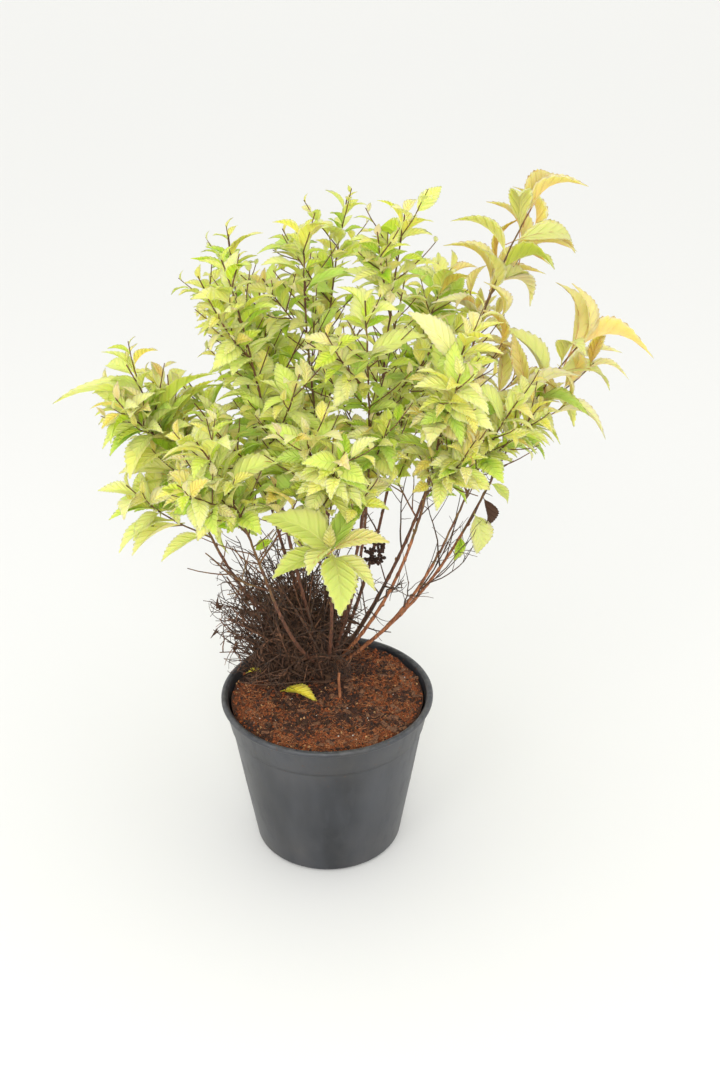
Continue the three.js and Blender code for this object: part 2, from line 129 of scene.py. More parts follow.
lamp("window", (-1.05, -0.85, 1.25), 0.60, 2.6, 0.97)
lamp("front_fill", (-0.36, -1.15, 0.82), 0.60, 7.2)
print("camera", round((LOOK_AT - EYE).length, 3), "m from the plant, lens", LENS, "mm")

# %% [markdown]
# ## A way to write finishes
# A finish is a small network of shader nodes. Wiring them by hand is slow to read, so a little
# class wraps one output socket and lets ordinary sums add the Math nodes: `1 - mask * 0.3`.
# A second class holds the material itself and makes every other kind of node in one method.
# %% Finishes from sums
class Wire:
    """One output of a shader node, which can be used in sums."""

    def __init__(self, finish, socket):
        self.finish = finish
        self.socket = socket

    def sum_with(self, operation, first, second=0.0):
        return self.finish.node("Math", {"operation": operation}, {0: first, 1: second})

    def __add__(self, other):
        return self.sum_with("ADD", self, other)

    def __radd__(self, other):
        return self.sum_with("ADD", other, self)

    def __sub__(self, other):
        return self.sum_with("SUBTRACT", self, other)

    def __rsub__(self, other):
        return self.sum_with("SUBTRACT", other, self)

    def __mul__(self, other):
        return self.sum_with("MULTIPLY", self, other)

    def __rmul__(self, other):
        return self.sum_with("MULTIPLY", other, self)

    def __abs__(self):
        return self.sum_with("ABSOLUTE", self)

    def sine(self):
        return self.sum_with("SINE", self)

    def fraction(self):
        """What is left of a number when its whole part is taken off."""
        return self.sum_with("FRACT", self)

    def between(self, low, high):
        """0 below low, 1 above high, and an even rise from one to the other."""
        return self.finish.node(
            "MapRange", {"clamp": True}, {"Value": self, "From Min": low, "From Max": high}
        )


class Finish:
    """A material that is being mixed."""

    def __init__(self, name):
        self.material = bpy.data.materials.new(name)
        self.material.use_nodes = True
        self.tree = self.material.node_tree
        self.shader = self.tree.nodes["Principled BSDF"]

    def node(self, kind, settings=None, inputs=None, output=0):
        """Any kind of node: its settings are made first, and its sockets are then fed."""
        made = self.tree.nodes.new("ShaderNode" + kind)
        for key, value in (settings or {}).items():
            setattr(made, key, value)
        for key, value in (inputs or {}).items():
            self.feed(made.inputs[key], value)
        return Wire(self, made.outputs[output])

    def feed(self, socket, value):
        if isinstance(value, Wire):
            self.tree.links.new(value.socket, socket)
        else:
            socket.default_value = value

    def place(self):
        """Where a point of the piece is, in metres."""
        return self.node("TexCoord", output="Object")

    def grain(self, scale, detail=3.0, stretch=(1, 1, 1)):
        """Soft random grain from 0 to 1; scale is how many grains there are to a metre."""
        mapped = self.node("Mapping", {}, {"Vector": self.place(), "Scale": stretch})
        inputs = {"Vector": mapped, "Scale": scale, "Detail": detail, "Roughness": 0.55}
        return self.node("TexNoise", {}, inputs)

    def mix(self, factor, first, second):
        """A colour between two colours."""
        colours = {0: factor, 6: first, 7: second}
        return self.node("Mix", {"data_type": "RGBA"}, colours, output=2)

    def bump(self, height, depth, strength):
        """The way light falls on small relief: depth is in metres."""
        inputs = {"Height": height, "Distance": depth, "Strength": strength}
        self.feed(self.shader.inputs["Normal"], self.node("Bump", {}, inputs))

    def set(self, **sockets):
        """Feeds the shader's own sockets, in whose names _ stands for a space."""
        for key, value in sockets.items():
            self.feed(self.shader.inputs[key.replace("_", " ")], value)


def paint(*levels):
    """Red, green and blue as the eye names them, 0 to 255, turned into shares of light."""
    shares = [level / 255 for level in levels]
    return (*(v / 12.92 if v <= 0.04045 else ((v + 0.055) / 1.055) ** 2.4 for v in shares), 1.0)


floor_finish = Finish("pale_floor")
floor_finish.set(Base_Color=paint(228, 228, 226), Roughness=0.7)
floor.data.materials.append(floor_finish.material)
print("finishes are ready to be mixed")

# %% [markdown]
# ## Ways to model by hand
# Every operator acts on what is selected, so these helpers clear the selection, go into edit
# mode, pick edges or corners by their place, and close a finished skin. They are used for each
# piece below.
# %% Helpers for modelling
def clear_selection():
    if bpy.context.mode != "OBJECT":
        bpy.ops.object.mode_set(mode="OBJECT")
    bpy.ops.object.select_all(action="DESELECT")


def named(name):
    piece = bpy.context.object
    piece.name = name
    piece.data.name = name
    return piece


def into_edit_mode(kind="FACE"):
    """Goes into edit mode with the whole piece selected."""
    bpy.ops.object.mode_set(mode="EDIT")
    bpy.ops.mesh.select_mode(type=kind)
    bpy.ops.mesh.select_all(action="SELECT")


def close_skin(weld=None):
    """Leaves edit mode with doubled corners welded and all faces pointing outwards."""
    bpy.ops.mesh.select_all(action="SELECT")
    if weld:
        bpy.ops.mesh.remove_doubles(threshold=weld)
    bpy.ops.mesh.normals_make_consistent(inside=False)
    bpy.ops.object.mode_set(mode="OBJECT")


def cut_across(places, way):
    """Cuts the whole piece being edited at each place, square to the way."""
    for place in places:
        bpy.ops.mesh.select_all(action="SELECT")
        bpy.ops.mesh.bisect(plane_co=place, plane_no=way)
    bpy.ops.object.mode_set(mode="OBJECT")


def pick(piece, wanted, kind):
    """Selects the edges or corners of the piece being edited for which wanted is true."""
    bpy.ops.mesh.select_mode(type=kind)
    bpy.ops.mesh.select_all(action="DESELECT")
    body = bmesh.from_edit_mesh(piece.data)
    for part in body.verts if kind == "VERT" else body.edges:
        part.select_set(wanted(part))
    body.select_flush_mode()
    bmesh.update_edit_mesh(piece.data)


def apply_modifier(piece, kind, **settings):
    """Adds a modifier with its settings and makes its result the piece's own mesh."""
    modifier = piece.modifiers.new(kind.lower(), kind)
    for key, value in settings.items():
        setattr(modifier, key, value)
    bpy.context.view_layer.objects.active = piece
    bpy.ops.object.modifier_apply(modifier=modifier.name)


def finish_piece(piece, finish, nodes=(), *, smooth):
    """Gives a piece its material, hangs it on the root body and hides the nodes it stands for.

    Edges that turn by less than the angle smooth, in degrees, are shaded as one round surface.
    """
    if finish:
        piece.data.materials.clear()
        piece.data.materials.append(finish.material)
    clear_selection()
    piece.select_set(True)
    bpy.context.view_layer.objects.active = piece
    bpy.ops.object.shade_smooth_by_angle(angle=math.radians(smooth))
    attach(piece, "root")
    if nodes:
        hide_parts(*nodes)
    return piece


def corners_of(mesh):
    """The places of a mesh's corners, one to a row."""
    places = np.empty(len(mesh.vertices) * 3, np.float32)
    mesh.vertices.foreach_get("co", places)
    return places.reshape(-1, 3)


def move_corners(mesh, places):
    mesh.vertices.foreach_set("co", np.asarray(places, np.float32).ravel())
    mesh.update()


print("modelling helpers are ready")

# %% [markdown]
# ## The pot
# A nursery pot is one thin cup of injection-moulded plastic: a flat foot, a straight tapering
# wall, a slightly wider band at the top where stacked pots catch, and a rolled lip. It could
# be spun from a profile, but pulling it up ring by ring from a disc keeps it one closed skin,
# outside and inside. Eight drain holes are then cut through its floor, and the sharp edges
# are rounded as the mould rounds them.
# %% The pot's shape
POT_HEIGHT = 105 * MM
RIM_RADIUS = 65.5 * MM
FOOT_RADIUS = 46.5 * MM
WALL = 1.2 * MM
FLOOR_THICKNESS = 1.6 * MM
LIP_WIDTH = 2.8 * MM
LIP_HEIGHT = 3.2 * MM
BAND_HEIGHT = 17 * MM
STEP_DEPTH = 0.9 * MM
FOOT_CHAMFER = 2 * MM
FOOT_GROOVE = 0.5 * MM
LIP_ROUND = 0.9 * MM
WALL_TOP_RADIUS = RIM_RADIUS - LIP_WIDTH


def between(low, high, share):
    return low + (high - low) * share


def inner_wall_radius(height):
    """How far the tapering wall's inner side is from the pot's axis."""
    share = (height - FLOOR_THICKNESS) / (POT_HEIGHT - FLOOR_THICKNESS)
    return between(FOOT_RADIUS, WALL_TOP_RADIUS, share) - WALL


def pull_rings(rings):
    """Extrudes the selected disc up and down a profile of (radius, height) pairs."""
    radius, height = rings[0]
    for next_radius, next_height in rings[1:]:
        rise = (0, 0, next_height - height)
        bpy.ops.mesh.extrude_region_move(TRANSFORM_OT_translate={"value": rise})
        widen = next_radius / radius
        bpy.ops.transform.resize(value=(widen, widen, 1), center_override=(0, 0, 0))
        radius, height = next_radius, next_height


lip_foot = POT_HEIGHT - LIP_HEIGHT
step_height = lip_foot - BAND_HEIGHT
step_radius = between(FOOT_RADIUS, WALL_TOP_RADIUS, step_height / POT_HEIGHT)
floor_corner = FLOOR_THICKNESS + FOOT_CHAMFER
pot_rings = [
    (FOOT_RADIUS - FOOT_CHAMFER, 0),
    (FOOT_RADIUS, FOOT_CHAMFER),
    (between(FOOT_RADIUS, step_radius, 0.5), step_height / 2),
    (step_radius, step_height),
    (step_radius + STEP_DEPTH, step_height + STEP_DEPTH),
    (WALL_TOP_RADIUS + STEP_DEPTH, lip_foot - FOOT_GROOVE),
    (RIM_RADIUS - 0.5 * MM, lip_foot),
    (RIM_RADIUS, lip_foot + LIP_ROUND),
    (RIM_RADIUS, POT_HEIGHT - 1.0 * MM),
    (RIM_RADIUS - LIP_ROUND, POT_HEIGHT - 0.1 * MM),
    (WALL_TOP_RADIUS + 0.4 * MM, POT_HEIGHT),
    (inner_wall_radius(POT_HEIGHT), POT_HEIGHT - WALL),
    (inner_wall_radius(POT_HEIGHT / 2), POT_HEIGHT / 2),
    (inner_wall_radius(floor_corner), floor_corner),
    (inner_wall_radius(FLOOR_THICKNESS) - FOOT_CHAMFER, FLOOR_THICKNESS),
]
clear_selection()
bpy.ops.mesh.primitive_circle_add(vertices=112, radius=pot_rings[0][0], fill_type="NGON")
pot = named("plastic_pot")
into_edit_mode()
pull_rings(pot_rings)
close_skin()
print("pot:", len(pot_rings), "rings,", len(pot.data.polygons), "faces")

# %% Drain holes and rounded edges
DRAINS = 8
DRAIN_RADIUS = 4 * MM
DRAIN_RING_RADIUS = 36 * MM
clear_selection()
drills = []
for i in range(DRAINS):
    turn = 2 * math.pi * i / DRAINS
    place = (DRAIN_RING_RADIUS * math.cos(turn), DRAIN_RING_RADIUS * math.sin(turn), 0)
    bpy.ops.mesh.primitive_cylinder_add(
        vertices=24, radius=DRAIN_RADIUS, depth=4 * FLOOR_THICKNESS, location=place
    )
    drills.append(bpy.context.object)
for drill in drills:
    drill.select_set(True)
bpy.ops.object.join()
drill = bpy.context.object
apply_modifier(pot, "BOOLEAN", operation="DIFFERENCE", solver="EXACT", object=drill)
bpy.data.objects.remove(drill)
apply_modifier(pot, "BEVEL", width=0.35 * MM, segments=2, limit_method="ANGLE",
               angle_limit=math.radians(35))
print("pot with", DRAINS, "drain holes:", len(pot.data.polygons), "faces")

# %% [markdown]
# ## The pot's plastic
# The plastic is anthracite with a soft sheen. It has the faint upright flow marks of the
# mould, a dry film of dust that gathers under the lip and on the foot, a few specks of
# splashed soil, painted shade with some dirt in the stacking step, and a lip whose top is
# painted pale, partly as rubbed wear and partly as a painted highlight. Much of this shows in
# how rough the surface is.
# %% The pot's plastic
plastic = Finish("anthracite_plastic")
flow = plastic.grain(900, detail=2, stretch=(1, 1, 0.06))
scuffs = plastic.grain(160, detail=4, stretch=(1, 1, 0.35)).between(0.52, 0.74)
dust = plastic.grain(45, detail=5).between(0.42, 0.78)
splash = plastic.grain(420, detail=1).between(0.70, 0.745)
height = plastic.node("SeparateXYZ", {}, {0: plastic.place()}, output="Z")
near_rim = height.between(0.070, 0.104)
near_foot = 1 - height.between(0.004, 0.030)
film = dust * (0.08 + 0.16 * near_rim + 0.22 * near_foot)
# the top of the lip is painted paler: partly rubbed wear, partly a painted highlight
worn_and_highlit_lip = height.between(POT_HEIGHT - 2.2 * MM, POT_HEIGHT - 0.4 * MM)
rubbed = plastic.grain(260, detail=4, stretch=(1, 1, 3)).between(0.40, 0.68)
# painted shade, with some dirt, darkens the stacking step under the band
off_step = abs(height - (step_height + STEP_DEPTH / 2))
step_shade_and_dirt = (1 - off_step.between(0.4 * MM, 1.5 * MM)) * (0.35 + 0.65 * dust)
smudges = plastic.grain(24, detail=3, stretch=(1, 1, 0.3)).between(0.36, 0.64)
moulded = plastic.mix(smudges, paint(35, 37, 41), paint(64, 66, 71))
clean_colour = plastic.mix(scuffs * 0.30, moulded, paint(70, 72, 76))
worn_and_highlit_colour = plastic.mix(worn_and_highlit_lip * rubbed * 0.55, clean_colour, paint(98, 99, 102))
dusty_colour = plastic.mix(film, worn_and_highlit_colour, paint(108, 102, 94))
step_shaded_colour = plastic.mix(step_shade_and_dirt * 0.7, dusty_colour, paint(22, 21, 20))
plastic.set(
    Base_Color=plastic.mix(splash * near_rim * 0.8, step_shaded_colour, paint(92, 58, 38)),
    Roughness=0.30 + 0.10 * smudges + 0.12 * scuffs + 0.30 * film + 0.05 * flow,
    Specular_IOR_Level=0.42,
)
plastic.bump(flow * 0.5 + scuffs * 0.3 + splash * near_rim, 0.05 * MM, 0.6)
finish_piece(pot, plastic, ["pot"], smooth=40)
print("pot finish:", len(plastic.tree.nodes), "nodes")

# %% [markdown]
# ## The soil
# Potting soil here is moist coir and peat: red-brown fibres and crumbs that stand a little
# higher round the plant and fall away to the wall. A disc is pulled up and inset into fine
# rings, and its top is then raised by a relief made of three sizes of lumps. The same relief
# function later seats every crumb, fibre, chip and fallen leaf, so none of them floats.
# %% The soil's surface
CLEARANCE = 0.35  # between neighbouring solids; from here on, sizes are in millimetres
SOIL_LEVEL = 99
SOIL_MOUND = 4
PLANT_X = 10
PLANT_Y = 27
SOIL_FLAT_RADIUS = 26
SOIL_SLOPE_WIDTH = 56
SOIL_RELIEF = 0.7
LUMPS = ((0.045, 0.9), (0.16, 0.55), (0.45, 0.28))  # waves to a millimetre, and their height
SOIL_SINK = 0.5  # the lumpy ground lies this much lower, so that lumps end at the solid's top
WET_PATCHES = ((21, 3.3, 1.0), (7, 9, 0.4))  # width, place in the noise, and share
# the painted shade under the plant is centred here and reaches this far
SHADE_CENTRE = (PLANT_X - 20, PLANT_Y - 14)
SHADE_RADIUS = 58


def soil_height(x, y):
    """The soil's smooth height, all in millimetres."""
    away = math.hypot(x - PLANT_X, y - PLANT_Y) - SOIL_FLAT_RADIUS
    fall = min(1, max(0, away / SOIL_SLOPE_WIDTH)) ** 2
    calm = min(1, max(0, 4 * away / SOIL_SLOPE_WIDTH))
    crumble = math.sin(x * 0.31 + 1.7) * math.cos(y * 0.27 - 0.6)
    crumble += 0.6 * math.sin(x * 0.13 - y * 0.21)
    return SOIL_LEVEL + SOIL_MOUND * (1 - fall) + SOIL_RELIEF * calm * crumble


def ground(x, y):
    """The soil's height with its lumps, all in millimetres."""
    lumps = sum(size * noise.noise(Vector((x * f, y * f, 7.7 * f))) for f, size in LUMPS)
    return soil_height(x, y) + lumps - SOIL_SINK


def damp_and_shade(x, y):
    """How wet the soil is in patches, with painted shade under the plant added, from 0 to 1."""
    patch = sum(share * noise.noise(Vector((x / width, y / width, layer)))
                for width, layer, share in WET_PATCHES)
    # painted shade: the soil under the plant is made darker, as if it were wet
    shade = max(0.0, 1 - math.dist((x, y), SHADE_CENTRE) / SHADE_RADIUS)
    return min(1, max(0, 0.36 + 1.7 * patch + 1.25 * shade))


SOIL_GAP = 0.5 * MM
SOIL_RINGS = 52
soil_bottom = FLOOR_THICKNESS + CLEARANCE * MM
soil_edge = inner_wall_radius(95 * MM) - SOIL_GAP
foot = inner_wall_radius(soil_bottom) - FOOT_CHAMFER - SOIL_GAP
clear_selection()
bpy.ops.mesh.primitive_circle_add(
    vertices=168, radius=foot, fill_type="NGON", location=(0, 0, soil_bottom)
)
bpy.ops.object.transform_apply(location=True)
soil = named("coir_soil")
into_edit_mode()
shoulder = soil_bottom + FOOT_CHAMFER
pull_rings([(foot, soil_bottom), (inner_wall_radius(shoulder) - SOIL_GAP, shoulder),
            (soil_edge, SOIL_LEVEL * MM)])
for _ in range(SOIL_RINGS):
    bpy.ops.mesh.inset(thickness=soil_edge / (SOIL_RINGS + 1))
bpy.ops.mesh.poke()
close_skin()
places = corners_of(soil.data)
for corner in places:
    if corner[2] > SOIL_LEVEL * MM / 2:
        corner[2] = ground(corner[0] / MM, corner[1] / MM) * MM
move_corners(soil.data, places)
# the stored value holds the wet patches and the painted shade under the plant
damp = soil.data.attributes.new("damp", "FLOAT", "POINT")
damp.data.foreach_set("value", [damp_and_shade(x / MM, y / MM) for x, y, _ in places])
print("soil:", len(soil.data.polygons), "faces, top at", round(places[:, 2].max() / MM, 1), "mm")

# %% [markdown]
# ## The soil's finish
# Fresh coir is rust red where it is dry and nearly black where it is wet. Shade is painted
# into its colour too: the ground is painted darker under the plant, darkest at the foot of the
# thicket, and dark in a band where the soil meets the wall. How wet each point is, with the
# painted shade under the plant, was stored with the mesh, so that the crumbs can follow it
# later. Crumbs and fine fibre ends are mixed over it and also give the relief.
# %% The soil's finish
coir = Finish("coir_and_peat")
stored = coir.node("Attribute", {"attribute_name": "damp"}, output="Fac")
patches = (stored + 1.6 * (coir.grain(420, detail=4) - 0.5)).between(0.2, 0.8)
crumbs = coir.grain(620, detail=4).between(0.38, 0.66)
fibre = coir.grain(1500, detail=2, stretch=(1, 0.35, 1)).between(0.4, 0.7)
old_feet = ((PLANT_X - 18) * MM, (PLANT_Y - 6) * MM, (SOIL_LEVEL + SOIL_MOUND) * MM)
from_feet = coir.node("VectorMath", {"operation": "DISTANCE"},
                      {0: coir.place(), 1: old_feet}, output="Value")
# painted shade: the soil is darkest at the foot of the thicket
thicket_shade = 1 - from_feet.between(0.016, 0.052)
level_place = coir.node("VectorMath", {"operation": "MULTIPLY"},
                        {0: coir.place(), 1: (1, 1, 0)})
from_axis = coir.node("VectorMath", {"operation": "LENGTH"}, {0: level_place}, output="Value")
# painted shade: a dark band where the soil meets the pot wall
rim_shade = from_axis.between(soil_edge - 5 * MM, soil_edge - 1 * MM)
dry_mix = coir.mix(crumbs, paint(74, 38, 16), paint(158, 88, 42))
# the darkest coir, for wet ground and for the painted shade under the plant
damp_and_shaded_mix = coir.mix(crumbs, paint(24, 16, 11), paint(66, 40, 25))
even = coir.mix(patches, dry_mix, damp_and_shaded_mix)
tipped = coir.mix(fibre * 0.35, even, paint(160, 92, 50))
shaded = coir.mix(thicket_shade * 0.75, tipped, paint(34, 23, 17))
coir.set(Base_Color=coir.mix(rim_shade * 0.7, shaded, paint(30, 18, 13)),
         Roughness=0.82 + 0.14 * crumbs)
coir.bump(crumbs * 0.7 + fibre * 0.5, 0.8 * MM, 0.9)
finish_piece(soil, coir, ["soil"], smooth=70)
print("soil finish:", len(coir.tree.nodes), "nodes")

# %% [markdown]
# ## Many small things as one mesh
# Crumbs, fibres, buds and leaves come in hundreds. Each kind is modelled once, and its
# corners are then placed again and again by arrays and joined into one mesh, which stays
# light. This cell reads a modelled shape and writes the joined copies.
# %% Joined copies
LEAF_MAP = "OFBake"  # the name under which a baker keeps a piece's own map


class Shape:
    """The faces of a small modelled piece, ready to be repeated."""

    def __init__(self, piece, face_map=None):
        mesh = piece.data
        self.face_map = face_map
        self.corners = corners_of(mesh)
        self.loops = np.array([loop.vertex_index for loop in mesh.loops], np.int32)
        self.starts = np.array([face.loop_start for face in mesh.polygons], np.int32)
        self.kinds = np.array([face.material_index for face in mesh.polygons], np.int32)
        self.triangles = sum(len(face.vertices) - 2 for face in mesh.polygons)
        bpy.data.objects.remove(piece)


def joined(name, *groups):
    """One object made of copies; a group is a shape and its (copies, corners, 3) metres."""
    groups = [(shape, places) for shape, places in groups if len(places)]
    loops, starts, kinds, maps = [], [], [], []
    first_corner = first_loop = 0
    for shape, places in groups:
        copies, corners = places.shape[:2]
        step = np.arange(copies, dtype=np.int32)[:, None]
        loops.append((shape.loops + step * corners).ravel() + first_corner)
        starts.append((shape.starts + step * len(shape.loops)).ravel() + first_loop)
        kinds.append(np.tile(shape.kinds, copies))
        if shape.face_map is not None:
            maps.append(np.tile(shape.face_map, (copies, 1)))
        first_corner += copies * corners
        first_loop += copies * len(shape.loops)
    mesh = bpy.data.meshes.new(name)
    mesh.vertices.add(first_corner)
    mesh.loops.add(first_loop)
    mesh.polygons.add(sum(map(len, starts)))
    corners = np.concatenate([places.reshape(-1, 3) for _, places in groups])
    mesh.vertices.foreach_set("co", corners.astype(np.float32).ravel())
    mesh.loops.foreach_set("vertex_index", np.concatenate(loops))
    mesh.polygons.foreach_set("loop_start", np.concatenate(starts))
    mesh.polygons.foreach_set("material_index", np.concatenate(kinds))
    mesh.update(calc_edges=True)
    if maps:
        layer = mesh.uv_layers.new(name=LEAF_MAP)
        layer.uv.foreach_set("vector", np.concatenate(maps).ravel())
    piece = bpy.data.objects.new(name, mesh)
    bpy.context.scene.collection.objects.link(piece)
    return piece


def turned_at_random(rng, count):
    """Random turns as (count, 3, 3) matrices, by way of random unit quaternions."""
    q = rng.normal(size=(count, 4))
    q /= np.linalg.norm(q, axis=1)[:, None]
    w, x, y, z = q.T
    rows = [[1 - 2 * (y * y + z * z), 2 * (x * y - w * z), 2 * (x * z + w * y)],
            [2 * (x * y + w * z), 1 - 2 * (x * x + z * z), 2 * (y * z - w * x)],
            [2 * (x * z - w * y), 2 * (y * z + w * x), 1 - 2 * (x * x + y * y)]]
    return np.transpose(np.array(rows), (2, 0, 1))


print("joined copies are ready")

# %% [markdown]
# ## Crumbs, chips and specks
# The ground is made of pieces: rounded crumbs of peat, flat chips of bark and a few white
# grains that keep the soil open. A crumb starts as an icosphere whose corners are pushed in
# and out; a chip is a cube that is bevelled and flattened. Dark crumbs gather where the soil
# is wet and in the painted shade under the plant, and rust-red ones where it is dry and out of
# that shade; the other kinds lie anywhere, and all are pressed into the ground.
# %% Crumbs, chips and specks
strewing = np.random.default_rng(41)


def crumb_shape(roughness):
    """A rounded lump of about one unit's radius, whose corners are pushed in and out."""
    clear_selection()
    bpy.ops.mesh.primitive_ico_sphere_add(subdivisions=1, radius=1)
    into_edit_mode()
    bpy.ops.transform.resize(value=(1.15, 0.9, 0.8))
    bpy.ops.object.mode_set(mode="OBJECT")
    piece = bpy.context.object
    places = corners_of(piece.data)
    places *= 1 + roughness * strewing.uniform(-1, 1, (len(places), 1))
    move_corners(piece.data, places)
    return Shape(piece)


def chip_shape():
    """A flat flake of bark, two units long."""
    clear_selection()
    bpy.ops.mesh.primitive_cube_add(size=2)
    into_edit_mode("EDGE")
    bpy.ops.transform.resize(value=(1.0, 0.45, 0.16))
    bpy.ops.mesh.bevel(offset=0.07, segments=1)
    bpy.ops.object.mode_set(mode="OBJECT")
    piece = bpy.context.object
    places = corners_of(piece.data)
    places += strewing.uniform(-0.07, 0.07, places.shape)
    move_corners(piece.data, places)
    return Shape(piece)


def strewn_spots(count, margin, wet=None):
    """Random spots in millimetres: even, or mostly on wet ground and painted shade, or on dry.
    """
    spots = []
    while len(spots) < count:
        radius = (soil_edge / MM - margin) * math.sqrt(strewing.uniform(0, 1))
        turn = strewing.uniform(0, 2 * math.pi)
        x, y = radius * math.cos(turn), radius * math.sin(turn)
        kept = 1
        if wet is not None:
            kept = 0.25 + damp_and_shade(x, y) if wet else 1.25 - damp_and_shade(x, y)
        if strewing.uniform(0, 1) < kept:
            spots.append((x, y))
    return np.array(spots)


def laid_flat(count):
    """Turns, as matrices, that spin a piece about the upright and tilt it a little."""
    tilt_x, tilt_y = strewing.uniform(-0.35, 0.35, (count, 2)).T
    spin = strewing.uniform(0, 2 * math.pi, count)
    cos, sin = np.cos(spin), np.sin(spin)
    rows = [[cos, -sin, tilt_x],
            [sin, cos, tilt_y],
            [-tilt_x * cos - tilt_y * sin, tilt_x * sin - tilt_y * cos, np.ones(count)]]
    return np.transpose(np.array(rows), (2, 0, 1))


def strew(name, shape, count, sizes, seat, finish, wet=None, flat=False):
    """Copies of a shape on the ground, with half lengths between two sizes in millimetres.

    The middle of a copy lies seat times its size above the ground.
    """
    size = strewing.uniform(0, 1, count) ** 2 * (sizes[1] - sizes[0]) + sizes[0]
    spots = strewn_spots(count, 0.6 * sizes[1], wet)
    turns = turned_at_random(strewing, count)
    if flat:
        turns = laid_flat(count)
    places = np.einsum("nij,vj->nvi", turns, shape.corners) * size[:, None, None]
    heights = np.array([ground(x, y) for x, y in spots]) + seat * size
    places += np.column_stack([spots, heights])[:, None, :]
    piece = joined(name, (shape, places * MM))
    print(name, count, "copies,", count * shape.triangles, "triangles")
    return finish_piece(piece, finish, smooth=30)


def earthy(name, dark, light, roughness=0.9):
    """A dull grainy finish between two colours."""
    finish = Finish(name)
    shade = finish.grain(900, detail=2).between(0.35, 0.68)
    finish.set(Base_Color=finish.mix(shade, dark, light), Roughness=roughness)
    finish.bump(finish.grain(2600, detail=2), 0.2 * MM, 0.6)
    return finish


rust_crumb = earthy("rust_crumb", paint(76, 38, 18), paint(168, 88, 40))
tan_crumb = earthy("tan_crumb", paint(126, 86, 52), paint(212, 168, 116))
dark_crumb = earthy("dark_crumb", paint(28, 18, 14), paint(76, 46, 31))
bark_chip = earthy("bark_chip", paint(70, 43, 30), paint(140, 96, 66))
white_grain = earthy("white_grain", paint(196, 188, 176), paint(235, 232, 224), 0.7)
# dark crumbs gather on wet ground and in the painted shade under the plant
strew("rust_crumbs", crumb_shape(0.26), 2300, (0.25, 1.15), 0.25, rust_crumb, wet=False)
strew("tan_crumbs", crumb_shape(0.26), 420, (0.2, 0.8), 0.45, tan_crumb)
strew("dark_crumbs", crumb_shape(0.28), 2000, (0.25, 1.4), 0.2, dark_crumb, wet=True)
strew("bark_chips", chip_shape(), 230, (0.9, 3.6), 0.12, bark_chip, flat=True)
strew("white_grains", crumb_shape(0.2), 30, (0.3, 0.7), 0.45, white_grain)

# %% [markdown]
# ## Loose fibres
# Coir is coconut fibre, and hundreds of short curved fibres lie over each other on the
# surface. One fibre is a three-sided prism, cut into a few lengths with bisect; each copy is
# bent along an arc, and every corner is set on the ground below it, so it follows the lumps.
# %% Loose fibres
FIBRE_LENGTHS = 4
FIBRE_MARGIN = 7
FIBRE_BEND = 1.6
FIBRE_SEAT = 0.25
FIBRE_LIFT = 2.2
clear_selection()
bpy.ops.mesh.primitive_cylinder_add(vertices=3, radius=1, depth=1, location=(0, 0, 0.5))
bpy.ops.object.transform_apply(location=True)
into_edit_mode()
cut_across([(0, 0, cut / FIBRE_LENGTHS) for cut in range(1, FIBRE_LENGTHS)], UP)
fibre_shape = Shape(bpy.context.object)


def strew_fibres(name, count, lengths, thickness, finish, wet):
    """Bent fibres on the ground; a few of them lift their ends."""
    along = fibre_shape.corners[:, 2]
    spots = strewn_spots(count, FIBRE_MARGIN, wet)
    spin = strewing.uniform(0, 2 * math.pi, count)
    length = strewing.uniform(*lengths, count)
    bend = strewing.uniform(-FIBRE_BEND, FIBRE_BEND, count)
    lift = strewing.uniform(0.0, 0.9, count) ** 3
    places = np.empty((count, len(along), 3))
    for k in range(count):
        turn = spin[k] + bend[k] * (along - 0.5)
        way = np.stack([np.cos(turn), np.sin(turn)], axis=1)
        x = spots[k, 0] + length[k] * (along - 0.5) * np.cos(spin[k] + bend[k] * along / 2)
        y = spots[k, 1] + length[k] * (along - 0.5) * np.sin(spin[k] + bend[k] * along / 2)
        across = fibre_shape.corners[:, 0] * thickness
        x, y = x - way[:, 1] * across, y + way[:, 0] * across
        rise = FIBRE_SEAT + lift[k] * FIBRE_LIFT * (2 * along - 1) ** 2
        level = np.array([ground(a, b) for a, b in zip(x, y)])
        up = level + rise + fibre_shape.corners[:, 1] * thickness
        places[k] = np.stack([x, y, up], axis=1)
    piece = joined(name, (fibre_shape, places * MM))
    print(name, count, "fibres,", count * fibre_shape.triangles, "triangles")
    return finish_piece(piece, finish, smooth=80)


tan_fibre = earthy("tan_fibre", paint(140, 80, 44), paint(206, 142, 92), 0.75)
brown_fibre = earthy("brown_fibre", paint(56, 32, 22), paint(104, 62, 42), 0.8)
# brown fibres gather on wet ground and in the painted shade under the plant
strew_fibres("tan_fibres", 950, (2, 9), 0.11, tan_fibre, wet=False)
strew_fibres("brown_fibres", 1000, (4, 12), 0.15, brown_fibre, wet=True)

# %% [markdown]
# ## How the shrub grows
# The plant's shape isn't drawn but grown: every stem, twig and leaf follows one rule from a
# few numbers and its own stream of chance, the same rule that the solid model was made by.
# So each stem here runs just where its solid does. Lengths are in millimetres, in the shrub's
# own frame, whose origin is on the soil under the woody base.
# %% Chance and directions
GOLDEN_ANGLE = 137.508  # in degrees
SHRUB_ORIGIN = Vector((PLANT_X, PLANT_Y, SOIL_LEVEL + SOIL_MOUND))


def chance(seed):
    """A small repeatable random stream."""
    state = seed

    def draw(low, high):
        nonlocal state
        state = (state * 1664525 + 1013904223) % 2**32
        return low + (high - low) * state / 2**32

    return draw


def direction(polar, azimuth):
    """A unit way at an angle from the upright, towards an azimuth, both in radians."""
    level = math.sin(polar)
    return Vector((level * math.cos(azimuth), level * math.sin(azimuth), math.cos(polar)))


